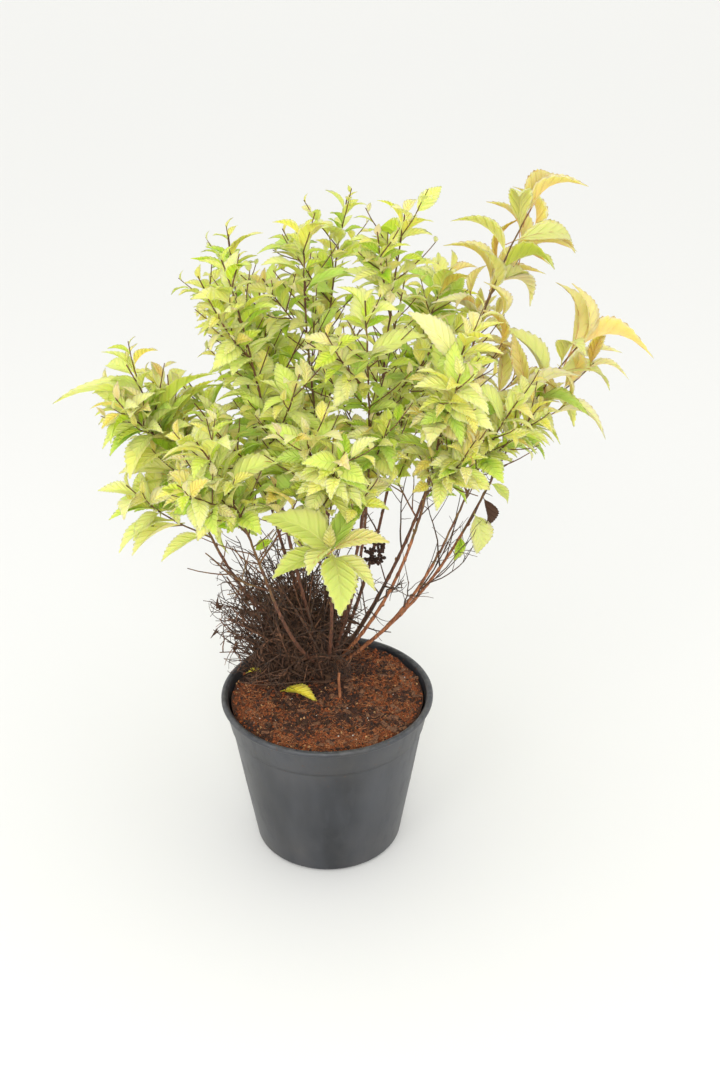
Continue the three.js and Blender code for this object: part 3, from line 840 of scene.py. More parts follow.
def square_to(vector, way):
    """The part of a vector that stands square to a unit direction, as a unit vector."""
    return (vector - way * vector.dot(way)).normalized()


def sideways(way, turn):
    """A unit vector square to a way, turned about it from as near upright as it gets."""
    start = square_to(Vector((1, 0, 0)) if abs(way.z) > 0.95 else UP, way)
    return Quaternion(way, turn) @ start


def leaning(way, towards, angle):
    """A way that is turned by an angle towards another one, square to it."""
    return way * math.cos(angle) + towards * math.sin(angle)


def on_path(path, share):
    """A place on a path and the way it runs there, from 0 at its foot to 1 at its tip."""
    scaled = min(1, max(0, share)) * (len(path) - 1)
    step = min(len(path) - 2, int(scaled))
    way = path[step + 1] - path[step]
    return path[step] + way * (scaled - step), way.normalized()


print("first draw of stream 1000:", round(chance(1000)(0, 1), 4))

# %% [markdown]
# ## Living stems
# A living stem leaves the base flatter than its tip lies, straightens up and nods outwards,
# which one Bezier curve describes. The table says where each stem goes: its azimuth in
# degrees, how far out its tip hangs and how high it stands.
# %% Living stems
STEMS = [
    (3, 130, 286), (356, 158, 204), (320, 112, 196), (34, 128, 232), (62, 76, 280),
    (96, 104, 222), (128, 66, 268), (163, 112, 204), (198, 64, 272), (219, 116, 196),
    (246, 92, 198), (272, 62, 256), (300, 98, 240), (330, 44, 290), (105, 20, 276),
]
BASE_RADIUS = 18
BASE_SINK = 8
BASE_CENTRE = Vector((0, 0, CLEARANCE - BASE_SINK))
BASE_LEAN_GAIN = 1.6
WIDEST_LEAN = 66
SOCKET_SHARE = 0.75
TIP_LEAN_GAIN = 1.05
BASE_PULL = 0.42
TIP_PULL = 0.33
SIDE_SWAY = 0.07
PATH_STEPS = 20
BARE_SHARE = 0.4
STEM_FOOT_RADIUS = 1.9
OLD_STEM_RADIUS = 1.3


def socket(lean, azimuth, radius):
    """Where the foot of a stem of that radius stands on the round base."""
    seat = SOCKET_SHARE * lean
    stand = 1.2 * CLEARANCE + radius * math.sin(lean - seat)
    return BASE_CENTRE + direction(seat, azimuth) * (BASE_RADIUS + stand)


def bezier(foot, lower, upper, tip, steps):
    path = []
    for i in range(steps + 1):
        t = i / steps
        s = 1 - t
        path.append(foot * s**3 + lower * 3 * s * s * t + upper * 3 * s * t * t + tip * t**3)
    return path


def length_of(path):
    return sum((b - a).length for a, b in zip(path, path[1:]))


STEM, SIDE_TWIG, SPUR, STAR = range(4)  # the rank of a shoot


class Shoot:
    """A stem or twig; its owner is the number of the stem that it grows from."""

    def __init__(self, path, length, draw, rank, owner):
        self.path = path
        self.length = length
        self.draw = draw
        self.rank = rank
        self.owner = owner
        self.leaves = []


def living_stem(azimuth_degrees, reach, height, k):
    draw = chance(1000 + 77 * k)
    azimuth = math.radians(azimuth_degrees)
    aim = math.atan2(reach, height)
    lean = min(BASE_LEAN_GAIN * aim, math.radians(WIDEST_LEAN))
    foot = socket(lean, azimuth, STEM_FOOT_RADIUS)
    tip = direction(aim, azimuth) * math.hypot(reach, height)
    chord = (tip - foot).length
    aside = direction(math.pi / 2, azimuth + math.pi / 2)
    lower = foot + direction(lean, azimuth) * BASE_PULL * chord
    upper = tip - direction(TIP_LEAN_GAIN * aim, azimuth) * TIP_PULL * chord
    lower += aside * draw(-SIDE_SWAY, SIDE_SWAY) * chord
    upper += aside * draw(-SIDE_SWAY, SIDE_SWAY) * chord
    path = bezier(foot, lower, upper, tip, PATH_STEPS)
    return Shoot(path, length_of(path), draw, STEM, k)


stems = [living_stem(*row, k) for k, row in enumerate(STEMS)]
print("stems:", len(stems), "from", round(min(s.length for s in stems)), "to",
      round(max(s.length for s in stems)), "mm long")

# %% [markdown]
# ## Leaves and side twigs
# Leaves are counted from a shoot's tip: the first are small and crowded, the fifth is the
# longest, and further down they stand wider apart. Each turns by the golden angle from the
# one before, rises off its twig and bends over with its own weight. Side twigs leave the
# leafy part of the stem and turn up towards the light. The solids stop there; the plant
# itself goes on to finer twigs, which grow here from the stems and side twigs by the same
# rule, from streams of their own.
# %% Leaves and side twigs
LEADER_LEAVES = 12
LEAF_LENGTH = 52
SIDE_TWIGS = 4
SIDE_TWIG_LEAVES = 6
SIDE_TWIG_LENGTH = 64
SIDE_TWIG_STEPS = 3
SIDE_TWIG_LIFT = 0.13
SIDE_TWIG_LEAF_LENGTH = 39.5
ROOT_SINK = 3  # a twig starts this far down inside the shoot that bears it

# Most sprays have small oval leaves. Those that lean out to the sunny right have long narrow
# ones that are folded, and some in front and behind have larger ones than the rest. Each row
# is scale, width for length and fold, by the number of the spray's stem, counted from 0.
PLAIN_LEAVES = (0.60, 0.47, 1.5)
SPRAY_LEAVES = {
    0: (1.00, 0.27, 2.8), 1: (0.98, 0.29, 2.6), 3: (0.80, 0.34, 2.2), 14: (0.64, 0.38, 1.8),
    2: (0.66, 0.38, 2.0), 12: (0.70, 0.42, 1.5), 9: (0.64, 0.46, 1.4), 10: (0.68, 0.46, 1.4),
    7: (0.98, 0.36, 1.6), 5: (0.76, 0.40, 1.6),
}
AIRY_SPRAYS = (0, 1)  # their long leaves need room, so their tips bear no spurs
FAN_FLATTENING = 0.55  # and the leaves lie mostly to the left and right of the shoot
LOW_SPRAYS = (1, 2)  # the two that lean out lowest
LOW_SPRAY_BARE = 0.60  # and the share of their length up to which they are bare
LONGEST_AT = 4  # the leaf with this number is the longest of its shoot


def leaf_offset(n):
    """How far leaf n stands from the tip of its shoot."""
    return 2.5 + 4.5 * n + 0.5 * n * n


def leaf_size(n):
    """The length of leaf n as a share of the longest."""
    if n < LONGEST_AT:
        return between(0.36, 1, math.sin(math.pi * n / (2 * LONGEST_AT)))
    return between(1, 0.62, (n - LONGEST_AT) / 8)


def leaf_on(shoot, n, longest):
    """One leaf of a shoot; n is its number, counted from the tip."""
    draw = shoot.draw
    is_airy = shoot.owner in AIRY_SPRAYS
    point, way = on_path(shoot.path, 1 - leaf_offset(n) / shoot.length)
    outward = sideways(way, math.radians(GOLDEN_ANGLE * n + draw(-14, 37)))
    rise = math.radians(between(38, 74, min(1, n / 7)) + draw(-10, 10))
    blade = leaning(way, outward, rise)
    blade.z = 0.92 * blade.z + 0.04 - 0.006 * n
    if is_airy:
        blade.y *= FAN_FLATTENING
    blade.normalize()
    scale, slenderness, folding = SPRAY_LEAVES.get(shoot.owner, PLAIN_LEAVES)
    age = n + 2 if is_airy else n
    size = longest * scale * leaf_size(age) * draw(0.84, 1.14)
    return {
        "joint": point, "blade": blade, "face": square_to(UP + way * 0.55, blade),
        "length": size, "width": size * slenderness * draw(0.88, 1.12),
        "arch": size * draw(0.09, 0.16) * (1 if is_airy else 0.7),
        "fold": size * folding * draw(0.02, 0.07),
        "n": n, "rank": shoot.rank, "owner": shoot.owner,
    }


def rising_path(start, way, first, length, steps, lift):
    """A twig's path: it leaves a shoot that runs along way, and turns up towards the light."""
    path = [start - way * ROOT_SINK, start]
    for j in range(1, steps + 1):
        bent = first.lerp(UP, lift * j).normalized()
        path.append(path[j] + bent * (length / steps))
    return path


def is_bare_at(shoot, share):
    return shoot.rank == STEM and shoot.owner in LOW_SPRAYS and share < LOW_SPRAY_BARE


def side_twig(stem, i):
    draw = stem.draw
    level = i / (SIDE_TWIGS - 1)
    share = between(0.46, 0.78, level) + draw(-0.02, 0.02)
    point, way = on_path(stem.path, share)
    length = SIDE_TWIG_LENGTH * between(1.1, 0.8, level) * draw(0.85, 1.12)
    outward = sideways(way, math.radians(GOLDEN_ANGLE * i + draw(130, 200)))
    first = leaning(way, outward, math.radians(draw(38, 52)))
    path = rising_path(point, way, first, length, SIDE_TWIG_STEPS, SIDE_TWIG_LIFT)
    twig = Shoot(path, length + ROOT_SINK, draw, SIDE_TWIG, stem.owner)
    twig.leaves = [leaf_on(twig, n, SIDE_TWIG_LEAF_LENGTH) for n in range(SIDE_TWIG_LEAVES)]
    return twig, share


twigs = []
for stem in stems:
    grown = [leaf_on(stem, n, LEAF_LENGTH) for n in range(LEADER_LEAVES)]
    stem.leaves = [leaf for n, leaf in enumerate(grown)
                   if not is_bare_at(stem, 1 - leaf_offset(n) / stem.length)]
    for i in range(SIDE_TWIGS):
        twig, share = side_twig(stem, i)
        if not is_bare_at(stem, share):
            twigs.append(twig)
print("side twigs:", len(twigs), "leaves so far:", sum(len(s.leaves) for s in stems + twigs))

# %% [markdown]
# ## Finer twigs
# Between the side twigs short spurs with small leaves fill the crown. A spur is left off
# where its tip would pass out of the box that the solid model reaches.
# %% Finer twigs
STEM_SPURS = 13
TWIG_SPURS = 5
SPUR_LEAVES = 7
SPUR_STEPS = 3
SPUR_LIFT = 0.10
AIRY_FROM = 0.72  # the airy sprays bear no spurs from here to their tips
reach_low = Vector(cad_box[0]) / MM - SHRUB_ORIGIN - Vector((1, 1, 1))
reach_high = Vector(cad_box[1]) / MM - SHRUB_ORIGIN + Vector((1, 1, 1))


def within_reach(point):
    return all(low <= v <= high for low, v, high in zip(reach_low, point, reach_high))


def spur(parent, share, turn, length, longest, draw):
    point, way = on_path(parent.path, share)
    outward = sideways(way, turn)
    first = leaning(way, outward, math.radians(draw(34, 62)))
    path = rising_path(point, way, first, length, SPUR_STEPS, SPUR_LIFT)
    made = Shoot(path, length + ROOT_SINK, draw, SPUR, parent.owner)
    made.leaves = [leaf_on(made, n, longest) for n in range(SPUR_LEAVES)]
    return made


spurs = []
for k, parent in enumerate(stems + twigs):
    draw = chance(9000 + 31 * k)
    is_stem = parent.rank == STEM
    count = STEM_SPURS if is_stem else TWIG_SPURS
    low, high = (0.5, 0.93) if is_stem else (0.35, 0.8)
    for i in range(count):
        share = between(low, high, i / (count - 1)) + draw(-0.03, 0.03)
        turn = math.radians(GOLDEN_ANGLE * i + draw(40, 110))
        length = draw(20, 36) * (1 if is_stem else 0.75)
        made = spur(parent, share, turn, length, draw(22, 37), draw)
        is_airy = parent.owner in AIRY_SPRAYS and (share > AIRY_FROM or not is_stem)
        if within_reach(made.path[-1]) and not is_airy and not is_bare_at(parent, share):
            spurs.append(made)
print("spurs:", len(spurs), "with", sum(len(s.leaves) for s in spurs), "leaves")

# %% [markdown]
# ## Stars of large leaves
# Low in the crown, in the shade, a few short shoots end in a star of large leaves that all
# leave from almost one point. The one in front is the largest thing one sees of the plant.
# Each shoot curves from its stem to its place, and its leaves spread round its tip.
# %% Stars of large leaves
STAR_LEAVES = 9
STAR_SPACING = 1.5
STARS = [  # stem, where the shoot leaves it, its tip, and its longest leaf before scaling
    (10, 0.44, (-28, -96, 137), 60),
    (8, 0.52, (-74, -34, 138), 46),
    (5, 0.50, (-20, 88, 128), 46),
]


def star(stem, share, tip, longest, number):
    """A shoot that ends in a star of leaves, all within a few millimetres of its tip."""
    draw = chance(12000 + 17 * number)
    point, way = on_path(stem.path, share)
    tip = Vector(tip)
    outward = (tip - point).normalized()
    path = bezier(point, point + way * 14, tip - (outward + UP * 0.5) * 12, tip, 6)
    made = Shoot(path, length_of(path), draw, STAR, stem.owner)
    for n in range(STAR_LEAVES):
        leaf = leaf_on(made, n, longest)
        seat, way = on_path(path, 1 - STAR_SPACING * n / made.length)
        around = sideways(way, math.radians(GOLDEN_ANGLE * n + draw(-12, 12)))
        blade = leaning(way, around, math.radians(between(40, 86, n / (STAR_LEAVES - 1))))
        blade = (blade - UP * 0.12).normalized()
        leaf.update(joint=seat, blade=blade, face=square_to(way + UP * 0.8, blade))
        made.leaves.append(leaf)
    return made


star_shoots = [star(stems[k], share, tip, longest, number)
               for number, (k, share, tip, longest) in enumerate(STARS)]
spurs += star_shoots
shoots = stems + twigs + spurs
print("stars:", len(star_shoots), "leaves in all:", sum(len(s.leaves) for s in shoots))

# %% [markdown]
# ## Wood
# A stem or twig is a curve with a round bevel whose radius tapers from point to point, which
# is how one would draw a branch by hand. The curve is turned into a mesh, and on the boughs
# a Displace modifier raises the bark. Living stems are never quite straight, and they swell
# a little at every bud.
# %% Limbs from curves
def limbs(name, paths, sides):
    """One mesh of round tapering limbs; paths holds (points, radii) pairs in millimetres."""
    clear_selection()
    bpy.ops.curve.primitive_nurbs_path_add()
    piece = named(name)
    curve = piece.data
    curve.splines.clear()
    curve.bevel_depth = 1.0
    curve.bevel_resolution = (sides - 4) // 2
    curve.use_fill_caps = True
    for points, radii in paths:
        spline = curve.splines.new("POLY")
        spline.points.add(len(points) - 1)
        here = [(*((SHRUB_ORIGIN + p) * MM), 1.0) for p in points]
        spline.points.foreach_set("co", np.array(here, np.float32).ravel())
        spline.points.foreach_set("radius", np.array(radii, np.float32) * MM)
    bpy.ops.object.convert(target="MESH")
    into_edit_mode("VERT")
    close_skin(weld=1e-6)
    return bpy.context.object


def stem_radius(share):
    """The bark's radius, a little inside the solid's."""
    return between(1.3, 0.42, share**0.7)


def refined(path, start, end, spacing, kink, rng):
    """Part of a path with points at an even spacing, each moved aside a little."""
    count = max(2, round(length_of(path) * (end - start) / spacing))
    points = []
    for i in range(count + 1):
        point, way = on_path(path, between(start, end, i / count))
        aside = sideways(way, rng.uniform(0, 2 * math.pi))
        points.append(point + aside * (kink * rng.uniform(0, 1) if 0 < i else 0))
    return points


bark_clouds = bpy.data.textures.new("bark_clouds", "CLOUDS")
bark_clouds.noise_scale = 2.4 * MM
bark_clouds.noise_depth = 3
growing = np.random.default_rng(17)
NODE_SPACING = 12
SWELLING = 0.20
SWELLING_WIDTH = 1.3
ROOTED = 5  # how deep a stem's foot goes into the wood of the base


def bough_limb(stem):
    """The bare part of a stem: rooted in the base and swollen at its buds."""
    points = refined(stem.path, 0, BARE_SHARE + 0.01, 1.6, 0.10, growing)
    radii = []
    for i in range(len(points)):
        share = BARE_SHARE * i / (len(points) - 1)
        at = share * stem.length % NODE_SPACING
        swell = SWELLING * math.exp(-((min(at, NODE_SPACING - at)) / SWELLING_WIDTH) ** 2)
        radii.append(stem_radius(share) * (1 + swell + growing.uniform(-0.04, 0.04)))
    way = (points[1] - points[0]).normalized()
    points.insert(0, points[0] - way * ROOTED)
    radii.insert(0, radii[0] * 1.25)
    return points, radii


def bark(name, dark, light, green=0.0):
    """Thin bark: long streaks, dark specks at the pores, and a dull sheen."""
    finish = Finish(name)
    streaks = finish.grain(700, detail=4, stretch=(1, 1, 0.25)).between(0.36, 0.66)
    pores = finish.grain(2400, detail=1).between(0.60, 0.68)
    streaked = finish.mix(streaks, dark, light)
    young = green * finish.grain(120).between(0.4, 0.7)
    greened = finish.mix(young, streaked, paint(150, 140, 70))
    finish.set(Base_Color=finish.mix(pores * 0.6, greened, paint(40, 26, 20)),
               Roughness=0.62 + 0.2 * streaks)
    finish.bump(streaks * 0.6 + pores * 0.8, 0.15 * MM, 0.8)
    return finish


brown_bark = bark("brown_bark", paint(70, 42, 30), paint(126, 80, 56))
russet_bark = bark("russet_bark", paint(116, 64, 38), paint(184, 120, 78))
LIGHT_STEMS = (1, 2, 12)
bough_faces = 0
for k, stem in enumerate(stems):
    piece = limbs(f"bough_{k + 1}", [bough_limb(stem)], 12)
    apply_modifier(piece, "DISPLACE", texture=bark_clouds, strength=0.35 * MM, mid_level=0.5)
    finish_piece(piece, russet_bark if k in LIGHT_STEMS else brown_bark,
                 [f"stem_{k + 1}"], smooth=60)
    bough_faces += len(piece.data.polygons)
print("boughs:", bough_faces, "faces")

# %% [markdown]
# ## Leafy shoots' wood
# From the lowest spray upwards the stems are young wood: thinner, redder and a little green
# in places. Each spray's leader, side twigs and spurs are one piece.
# %% Leafy shoots' wood
def taper(points, thick, thin):
    """A radius for every point, that falls evenly to the tip."""
    return [between(thick, thin, i / (len(points) - 1)) for i in range(len(points))]


def leader_limb(stem):
    points = refined(stem.path, BARE_SHARE, 1, 4.5, 0.35, growing)
    radii = [stem_radius(between(BARE_SHARE, 1, i / (len(points) - 1)))
             for i in range(len(points))]
    return points, radii


def twig_limb(twig, thick, thin):
    points = refined(twig.path, 0, 1, 5, 0.3, growing)
    return points, taper(points, thick, thin)


young_bark = bark("young_bark", paint(74, 44, 30), paint(128, 82, 54), green=0.35)
spray_faces = 0
for k, stem in enumerate(stems):
    own = [leader_limb(stem)]
    own += [twig_limb(twig, 0.60, 0.34) for twig in twigs if twig.owner == k]
    own += [twig_limb(spur_here, 0.44, 0.26) for spur_here in spurs if spur_here.owner == k]
    piece = limbs(f"spray_wood_{k + 1}", own, 6)
    finish_piece(piece, young_bark, [f"leafy_spray_{k + 1}"], smooth=60)
    spray_faces += len(piece.data.polygons)
print("spray wood:", spray_faces, "faces")

# %% [markdown]
# ## One leaf
# A spirea leaf is a pointed oval with a short stalk, a row of teeth along each side, and a
# fold along its midrib, which stands out below as a keel. It starts as a flat grid. Its rows
# are moved to where the outline needs them, the side edges are cut and the new corners pushed
# out and forwards as teeth. Then the sheet is extruded into a thin closed blade whose two
# sides meet at the edge. It stays flat here: every copy gets its own arch, fold and curl. The
# large leaves have four columns of faces and the many small ones only two, with fewer teeth.
# %% One leaf
EDGE_THICKNESS = 0.001  # all as shares of the leaf's length
KEEL = 0.020  # how far the lower side hangs below the upper at the midrib
WEB = 0.007  # and between the midrib and the edge
STALK_END = 0.07
BLADE_ROWS = (0, STALK_END, 0.17, 0.30, 0.44, 0.59, 0.74, 0.87, 1.0)
BLADE_HALF_WIDTHS = (0.045, 0.05, 0.52, 0.86, 1.0, 0.92, 0.68, 0.36, 0.0)
SMALL_ROWS = (0, STALK_END, 0.24, 0.46, 0.72, 1.0)


def leaf_copied_from(piece):
    """The shape of a leaf with its map: the upper side on the left half, the lower right."""
    face_map = []
    for face in piece.data.polygons:
        for corner in face.vertices:
            x, y, _ = piece.data.vertices[corner].co
            along = min(1, max(0, x))
            face_map.append((0.02 + 0.46 * along + 0.5 * face.material_index, 0.5 + 0.42 * y))
    shape = Shape(piece, np.array(face_map))
    print("leaf:", len(shape.starts), "faces,", shape.triangles, "triangles")
    return shape


def toothed_blade(name, row_places, columns, tooth_out, tooth_on):
    """Models a flat leaf one unit long and two wide, with a row of teeth on each side."""
    widths = np.interp(row_places, BLADE_ROWS, BLADE_HALF_WIDTHS)
    rows = len(row_places) - 1
    clear_selection()
    bpy.ops.mesh.primitive_grid_add(x_subdivisions=rows, y_subdivisions=columns, size=2)
    piece = named(name)
    places = corners_of(piece.data)
    row_of = np.rint((places[:, 0] + 1) / 2 * rows).astype(int)
    places[:, 0] = np.array(row_places)[row_of]
    places[:, 1] *= widths[row_of]
    move_corners(piece.data, places)
    into_edit_mode("VERT")
    bpy.ops.mesh.remove_doubles(threshold=1e-5)

    def is_toothed(edge):
        """A side edge of the blade, past the stalk and short of the tip."""
        middle = (edge.verts[0].co + edge.verts[1].co) / 2
        return edge.is_boundary and STALK_END < middle.x < 0.98 and abs(middle.y) > 0.1

    pick(piece, is_toothed, "EDGE")
    bpy.ops.mesh.subdivide(number_cuts=3)
    bpy.ops.object.mode_set(mode="OBJECT")
    places = corners_of(piece.data)
    for corner in places:
        row = np.searchsorted(row_places, corner[0] + 1e-4) - 1
        gap = row_places[min(row + 1, rows)] - row_places[row]
        quarter = round(4 * (corner[0] - row_places[row]) / gap) if row < rows else 0
        if quarter in (1, 3):
            width = np.interp(corner[0], row_places, widths)
            corner[1] += math.copysign(tooth_out * min(1, 0.25 + width), corner[1])
            corner[0] += tooth_on
    move_corners(piece.data, places)

    into_edit_mode("VERT")
    rise = (0, 0, -EDGE_THICKNESS)
    bpy.ops.mesh.extrude_region_move(TRANSFORM_OT_translate={"value": rise})
    bpy.ops.object.mode_set(mode="OBJECT")
    places = corners_of(piece.data)
    for corner in places:
        width = np.interp(corner[0], row_places, widths)
        share = abs(corner[1]) / max(width, 0.02)
        if corner[2] < -EDGE_THICKNESS / 2 and share < 0.7 and corner[0] < 0.99:
            corner[2] -= KEEL * (1 - 0.6 * corner[0]) if share < 0.2 else WEB
    move_corners(piece.data, places)
    into_edit_mode("VERT")
    close_skin(weld=1.5 * EDGE_THICKNESS)
    for face in piece.data.polygons:
        face.material_index = 0 if face.normal.z > 0 else 1
    return leaf_copied_from(piece)


large_leaf = toothed_blade("large_leaf", BLADE_ROWS, 4, 0.12, 0.022)
small_leaf = toothed_blade("small_leaf", SMALL_ROWS, 2, 0.13, 0.034)

# %% [markdown]
# ## Leaf finishes
# Each tint of the turning leaves is one plain colour, and there are many tints, so that the
# colour of a leaf is a matter of which piece it belongs to. The relief of the veins follows
# the leaf's own map: a midrib, and side veins that run out and forwards from it, with the
# flesh raised between them. The map holds the upper side in its left half and the lower side
# in its right half, and is the same for every leaf. The lower side is paler and duller.
# %% Leaf finishes
VEINS = 7.0
VEIN_RELIEF = 0.46 * MM


def leaf_finish(name, colour, roughness, relief, glow=0.70):
    """One side of a leaf; glow is how much light goes through it."""
    finish = Finish(name)
    on_map = finish.node("UVMap", {"uv_map": LEAF_MAP})
    u = finish.node("SeparateXYZ", {}, {0: on_map}, output="X")
    v = finish.node("SeparateXYZ", {}, {0: on_map}, output="Y")
    along = (u * 2).fraction()
    off_midrib = abs(v - 0.5) * 2.4
    side_veins = abs(((along * VEINS - off_midrib * 1.7) * math.pi).sine())
    flesh = side_veins.between(0.0, 0.7) * off_midrib.between(0.0, 0.16)
    finish.set(Base_Color=colour, Roughness=roughness + 0.12 * (1 - flesh),
               Subsurface_Weight=glow, Subsurface_Radius=(0.7, 1.0, 0.3),
               Subsurface_Scale=0.9 * MM, Specular_IOR_Level=0.42)
    finish.bump(flesh, VEIN_RELIEF, relief)
    return finish


TINTS = [  # name, colour, slot in the record, and the midribs that go with it
    ("green", (168, 200, 56), "lime_leaf", "lime"),
    ("lime", (200, 223, 74), "lime_leaf", "lime"),
    ("mid_lime", (220, 229, 104), "lime_leaf", "lime"),
    ("light_lime", (230, 233, 130), "lime_leaf", "lime"),
    ("yellow_lime", (236, 229, 112), "gold_leaf", "lime"),
    ("straw", (243, 232, 148), "gold_leaf", "lime"),
    ("gold", (237, 211, 108), "gold_leaf", "lime"),
    ("peach", (240, 212, 146), "apricot_leaf", "rosy"),
    ("apricot", (230, 190, 112), "apricot_leaf", "rosy"),
    ("russet", (204, 156, 80), "apricot_leaf", "rosy"),
    ("dimmed_green", (148, 172, 44), "lime_leaf", "lime"),
    ("olive", (182, 187, 74), "lime_leaf", "lime"),
    ("pale_olive", (206, 200, 112), "lime_leaf", "rosy"),
    ("cream", (224, 210, 152), "gold_leaf", "rosy"),
    ("tan", (224, 197, 120), "gold_leaf", "rosy"),
    ("bronze", (202, 165, 84), "apricot_leaf", "rosy"),
]
# the later tints are darker copies: painted shade against the strong light on open leaves
DIMMED_TINTS_FROM = 10  # the tints from here on are for leaves that stand out in the open
DOWN = (208, 222, 160)  # the pale down on the lower side
DOWN_SHARE = 0.35

leaf_finishes = {}
for tint, colour, _, _ in TINTS:
    pale = [between(level, down, DOWN_SHARE) for level, down in zip(colour, DOWN)]
    leaf_finishes[tint] = (leaf_finish(f"{tint}_leaf_face", paint(*colour), 0.40, 1.0),
                           leaf_finish(f"{tint}_leaf_back", paint(*pale), 0.62, 0.8))
print("leaf finishes:", 2 * len(leaf_finishes))

# %% [markdown]
# ## Which leaves stay, and their tints
# In the shade leaves drop: nearly all of the low ones, and many in the middle of the crown. A
# leaf that would reach out of the solid model's box is made shorter. The tint is dealt out by
# spray: some sprays turn sooner than others, and on each shoot the young leaves at the tip
# are the most coloured, while the inner leaves stay green. The leaves that hang in the open,
# on the airy sprays and the stars, have duller and browner tints: partly their autumn colour,
# partly painted shade that tempers the strong light falling on them.
# %% Which leaves stay, and their tints
SPRAY_TURNING = (0.60, 0.38, 0.32, 0.34, 0.28, 0.24, 0.24, 0.38,
                 0.30, 0.34, 0.38, 0.26, 0.38, 0.32, 0.28)  # by the number of the stem
LATER_BY_RANK = (0, 0, 0.05, 0.13)  # spurs and stars turn later than stems and side twigs
TINT_SPREAD = 0.15
LOW_UP_TO = 118  # leaves below this are low ones; the limit rises to the front and the right
CROWN_CENTRE = (20, 3, 200)
CROWN_REACH = (150, 120, 95)
LOW_LOSS = 0.96
dealing = np.random.default_rng(29)


def is_shed(leaf):
    """Whether a leaf has dropped by now."""
    x, y, z = leaf["joint"]
    is_low = z < LOW_UP_TO - 0.40 * y + 0.12 * max(0, x)
    depth = math.hypot(*((v - middle) / reach for v, middle, reach
                         in zip((x, y, z), CROWN_CENTRE, CROWN_REACH)))
    chance_to_drop = LOW_LOSS if is_low else 0.95 - 1.10 * depth
    return leaf["rank"] != STAR and dealing.uniform(0, 1) < chance_to_drop


def fit_reach(leaf):
    """Shortens a leaf until its tip lies within the reach of the solid model."""
    for _ in range(4):
        if within_reach(leaf["joint"] + leaf["blade"] * leaf["length"] * 0.97):
            return True
        for key in ("length", "width", "arch", "fold"):
            leaf[key] *= 0.86
    return False


def tint_of(leaf):
    """The number of a leaf's tint: the younger the leaf, the further it has turned."""
    youth = max(0.0, 1 - leaf["n"] / 5)
    turning = SPRAY_TURNING[leaf["owner"]]
    is_sunny = leaf["owner"] in AIRY_SPRAYS or leaf["rank"] == STAR
    tip_gain = 0.58 if is_sunny else 0.36
    value = turning * 0.75 + tip_gain * youth * (0.5 + turning) + dealing.normal(0, TINT_SPREAD)
    value -= LATER_BY_RANK[leaf["rank"]]
    # leaves in the open take the darker tints, painted shade that tempers their strong light
    first, last = (DIMMED_TINTS_FROM, len(TINTS)) if is_sunny else (0, DIMMED_TINTS_FROM)
    return first + int(min(last - first - 1, max(0, value * (last - first))))


def bend(leaf):
    """Gives a leaf the roll, curl, sweep and ripple of its own."""
    roll = dealing.normal(0, math.radians(18))
    leaf["face"] = Quaternion(leaf["blade"], roll) @ leaf["face"]
    leaf["across"] = leaf["face"].cross(leaf["blade"])
    youth = max(0.0, 1 - leaf["n"] / 6)
    weight = 0.14 if leaf["owner"] in AIRY_SPRAYS else -0.02
    leaf["curl"] = dealing.uniform(0.02, 0.14) + 0.08 * youth + weight
    leaf["sweep"] = dealing.normal(0, 0.08)
    leaf["ripple"] = dealing.uniform(0.0, 0.025)
    leaf["phase"] = dealing.uniform(0, 1)


batches = [[] for _ in TINTS]
for shoot in shoots:
    for leaf in shoot.leaves:
        bend(leaf)
        tint = tint_of(leaf)
        if not is_shed(leaf) and fit_reach(leaf):
            batches[tint].append(leaf)
print("leaves left on the plant:", sum(map(len, batches)))

# %% [markdown]
# ## Leaves in their places
# Each tint's leaves are one piece. The corners of the flat leaf are carried to their places by
# sums over the whole batch: along the leaf, across it, and up by its arch, fold and ripple.
# The arch lifts the middle of the leaf and lets its tip hang.
# %% Leaves in their places
LARGE_FROM = 19  # leaves shorter than this, in millimetres, are made of the small one


def leaf_corners(batch, shape):
    """Where the corners of a shape lie on a batch of leaves, in metres."""
    if not batch:
        return []
    x, y, z = shape.corners.T
    side = np.abs(y)

    def column(key):
        return np.array([leaf[key] for leaf in batch])[:, None]

    length, width = column("length"), column("width")
    arched = column("arch") * (4.467 * x - 4.967 * x * x) - column("curl") * length * x**3
    bulge = 0.03 * width * np.sin(math.pi * np.minimum(1, side)) * np.sin(math.pi * x)
    ripple = column("ripple") * length * side * np.sin(9 * x + 40 * column("phase"))
    up = arched + column("fold") * side + bulge + ripple + z * length
    aside = y * width / 2 + column("sweep") * length * x * x
    on = x * length - column("curl") * length * 0.35 * x**3
    places = np.array([tuple(leaf["joint"] + SHRUB_ORIGIN) for leaf in batch])[:, None, :]
    for key, amount in (("blade", on), ("across", aside), ("face", up)):
        way = np.array([tuple(leaf[key]) for leaf in batch])[:, None, :]
        places = places + way * amount[:, :, None]
    return places * MM


def leaves_of(name, batch, slot, upper, lower, nodes=()):
    """A batch of leaves as one finished piece, with a finish for each side."""
    large = [leaf for leaf in batch if leaf["length"] >= LARGE_FROM]
    small = [leaf for leaf in batch if leaf["length"] < LARGE_FROM]
    piece = joined(name, (large_leaf, leaf_corners(large, large_leaf)),
                   (small_leaf, leaf_corners(small, small_leaf)))
    piece.data.materials.append(upper.material)
    piece.data.materials.append(lower.material)
    return finish_piece(piece, None, nodes, smooth=32)


SPRAYS = [f"leafy_spray_{k + 1}" for k in range(len(stems))]
for (tint, _, slot, _), batch in zip(TINTS, batches):
    piece = leaves_of(f"{tint}_leaves", batch, slot, *leaf_finishes[tint], SPRAYS)
    triangles = sum(len(face.vertices) - 2 for face in piece.data.polygons)
    print(piece.name, len(batch), "leaves,", triangles, "triangles")

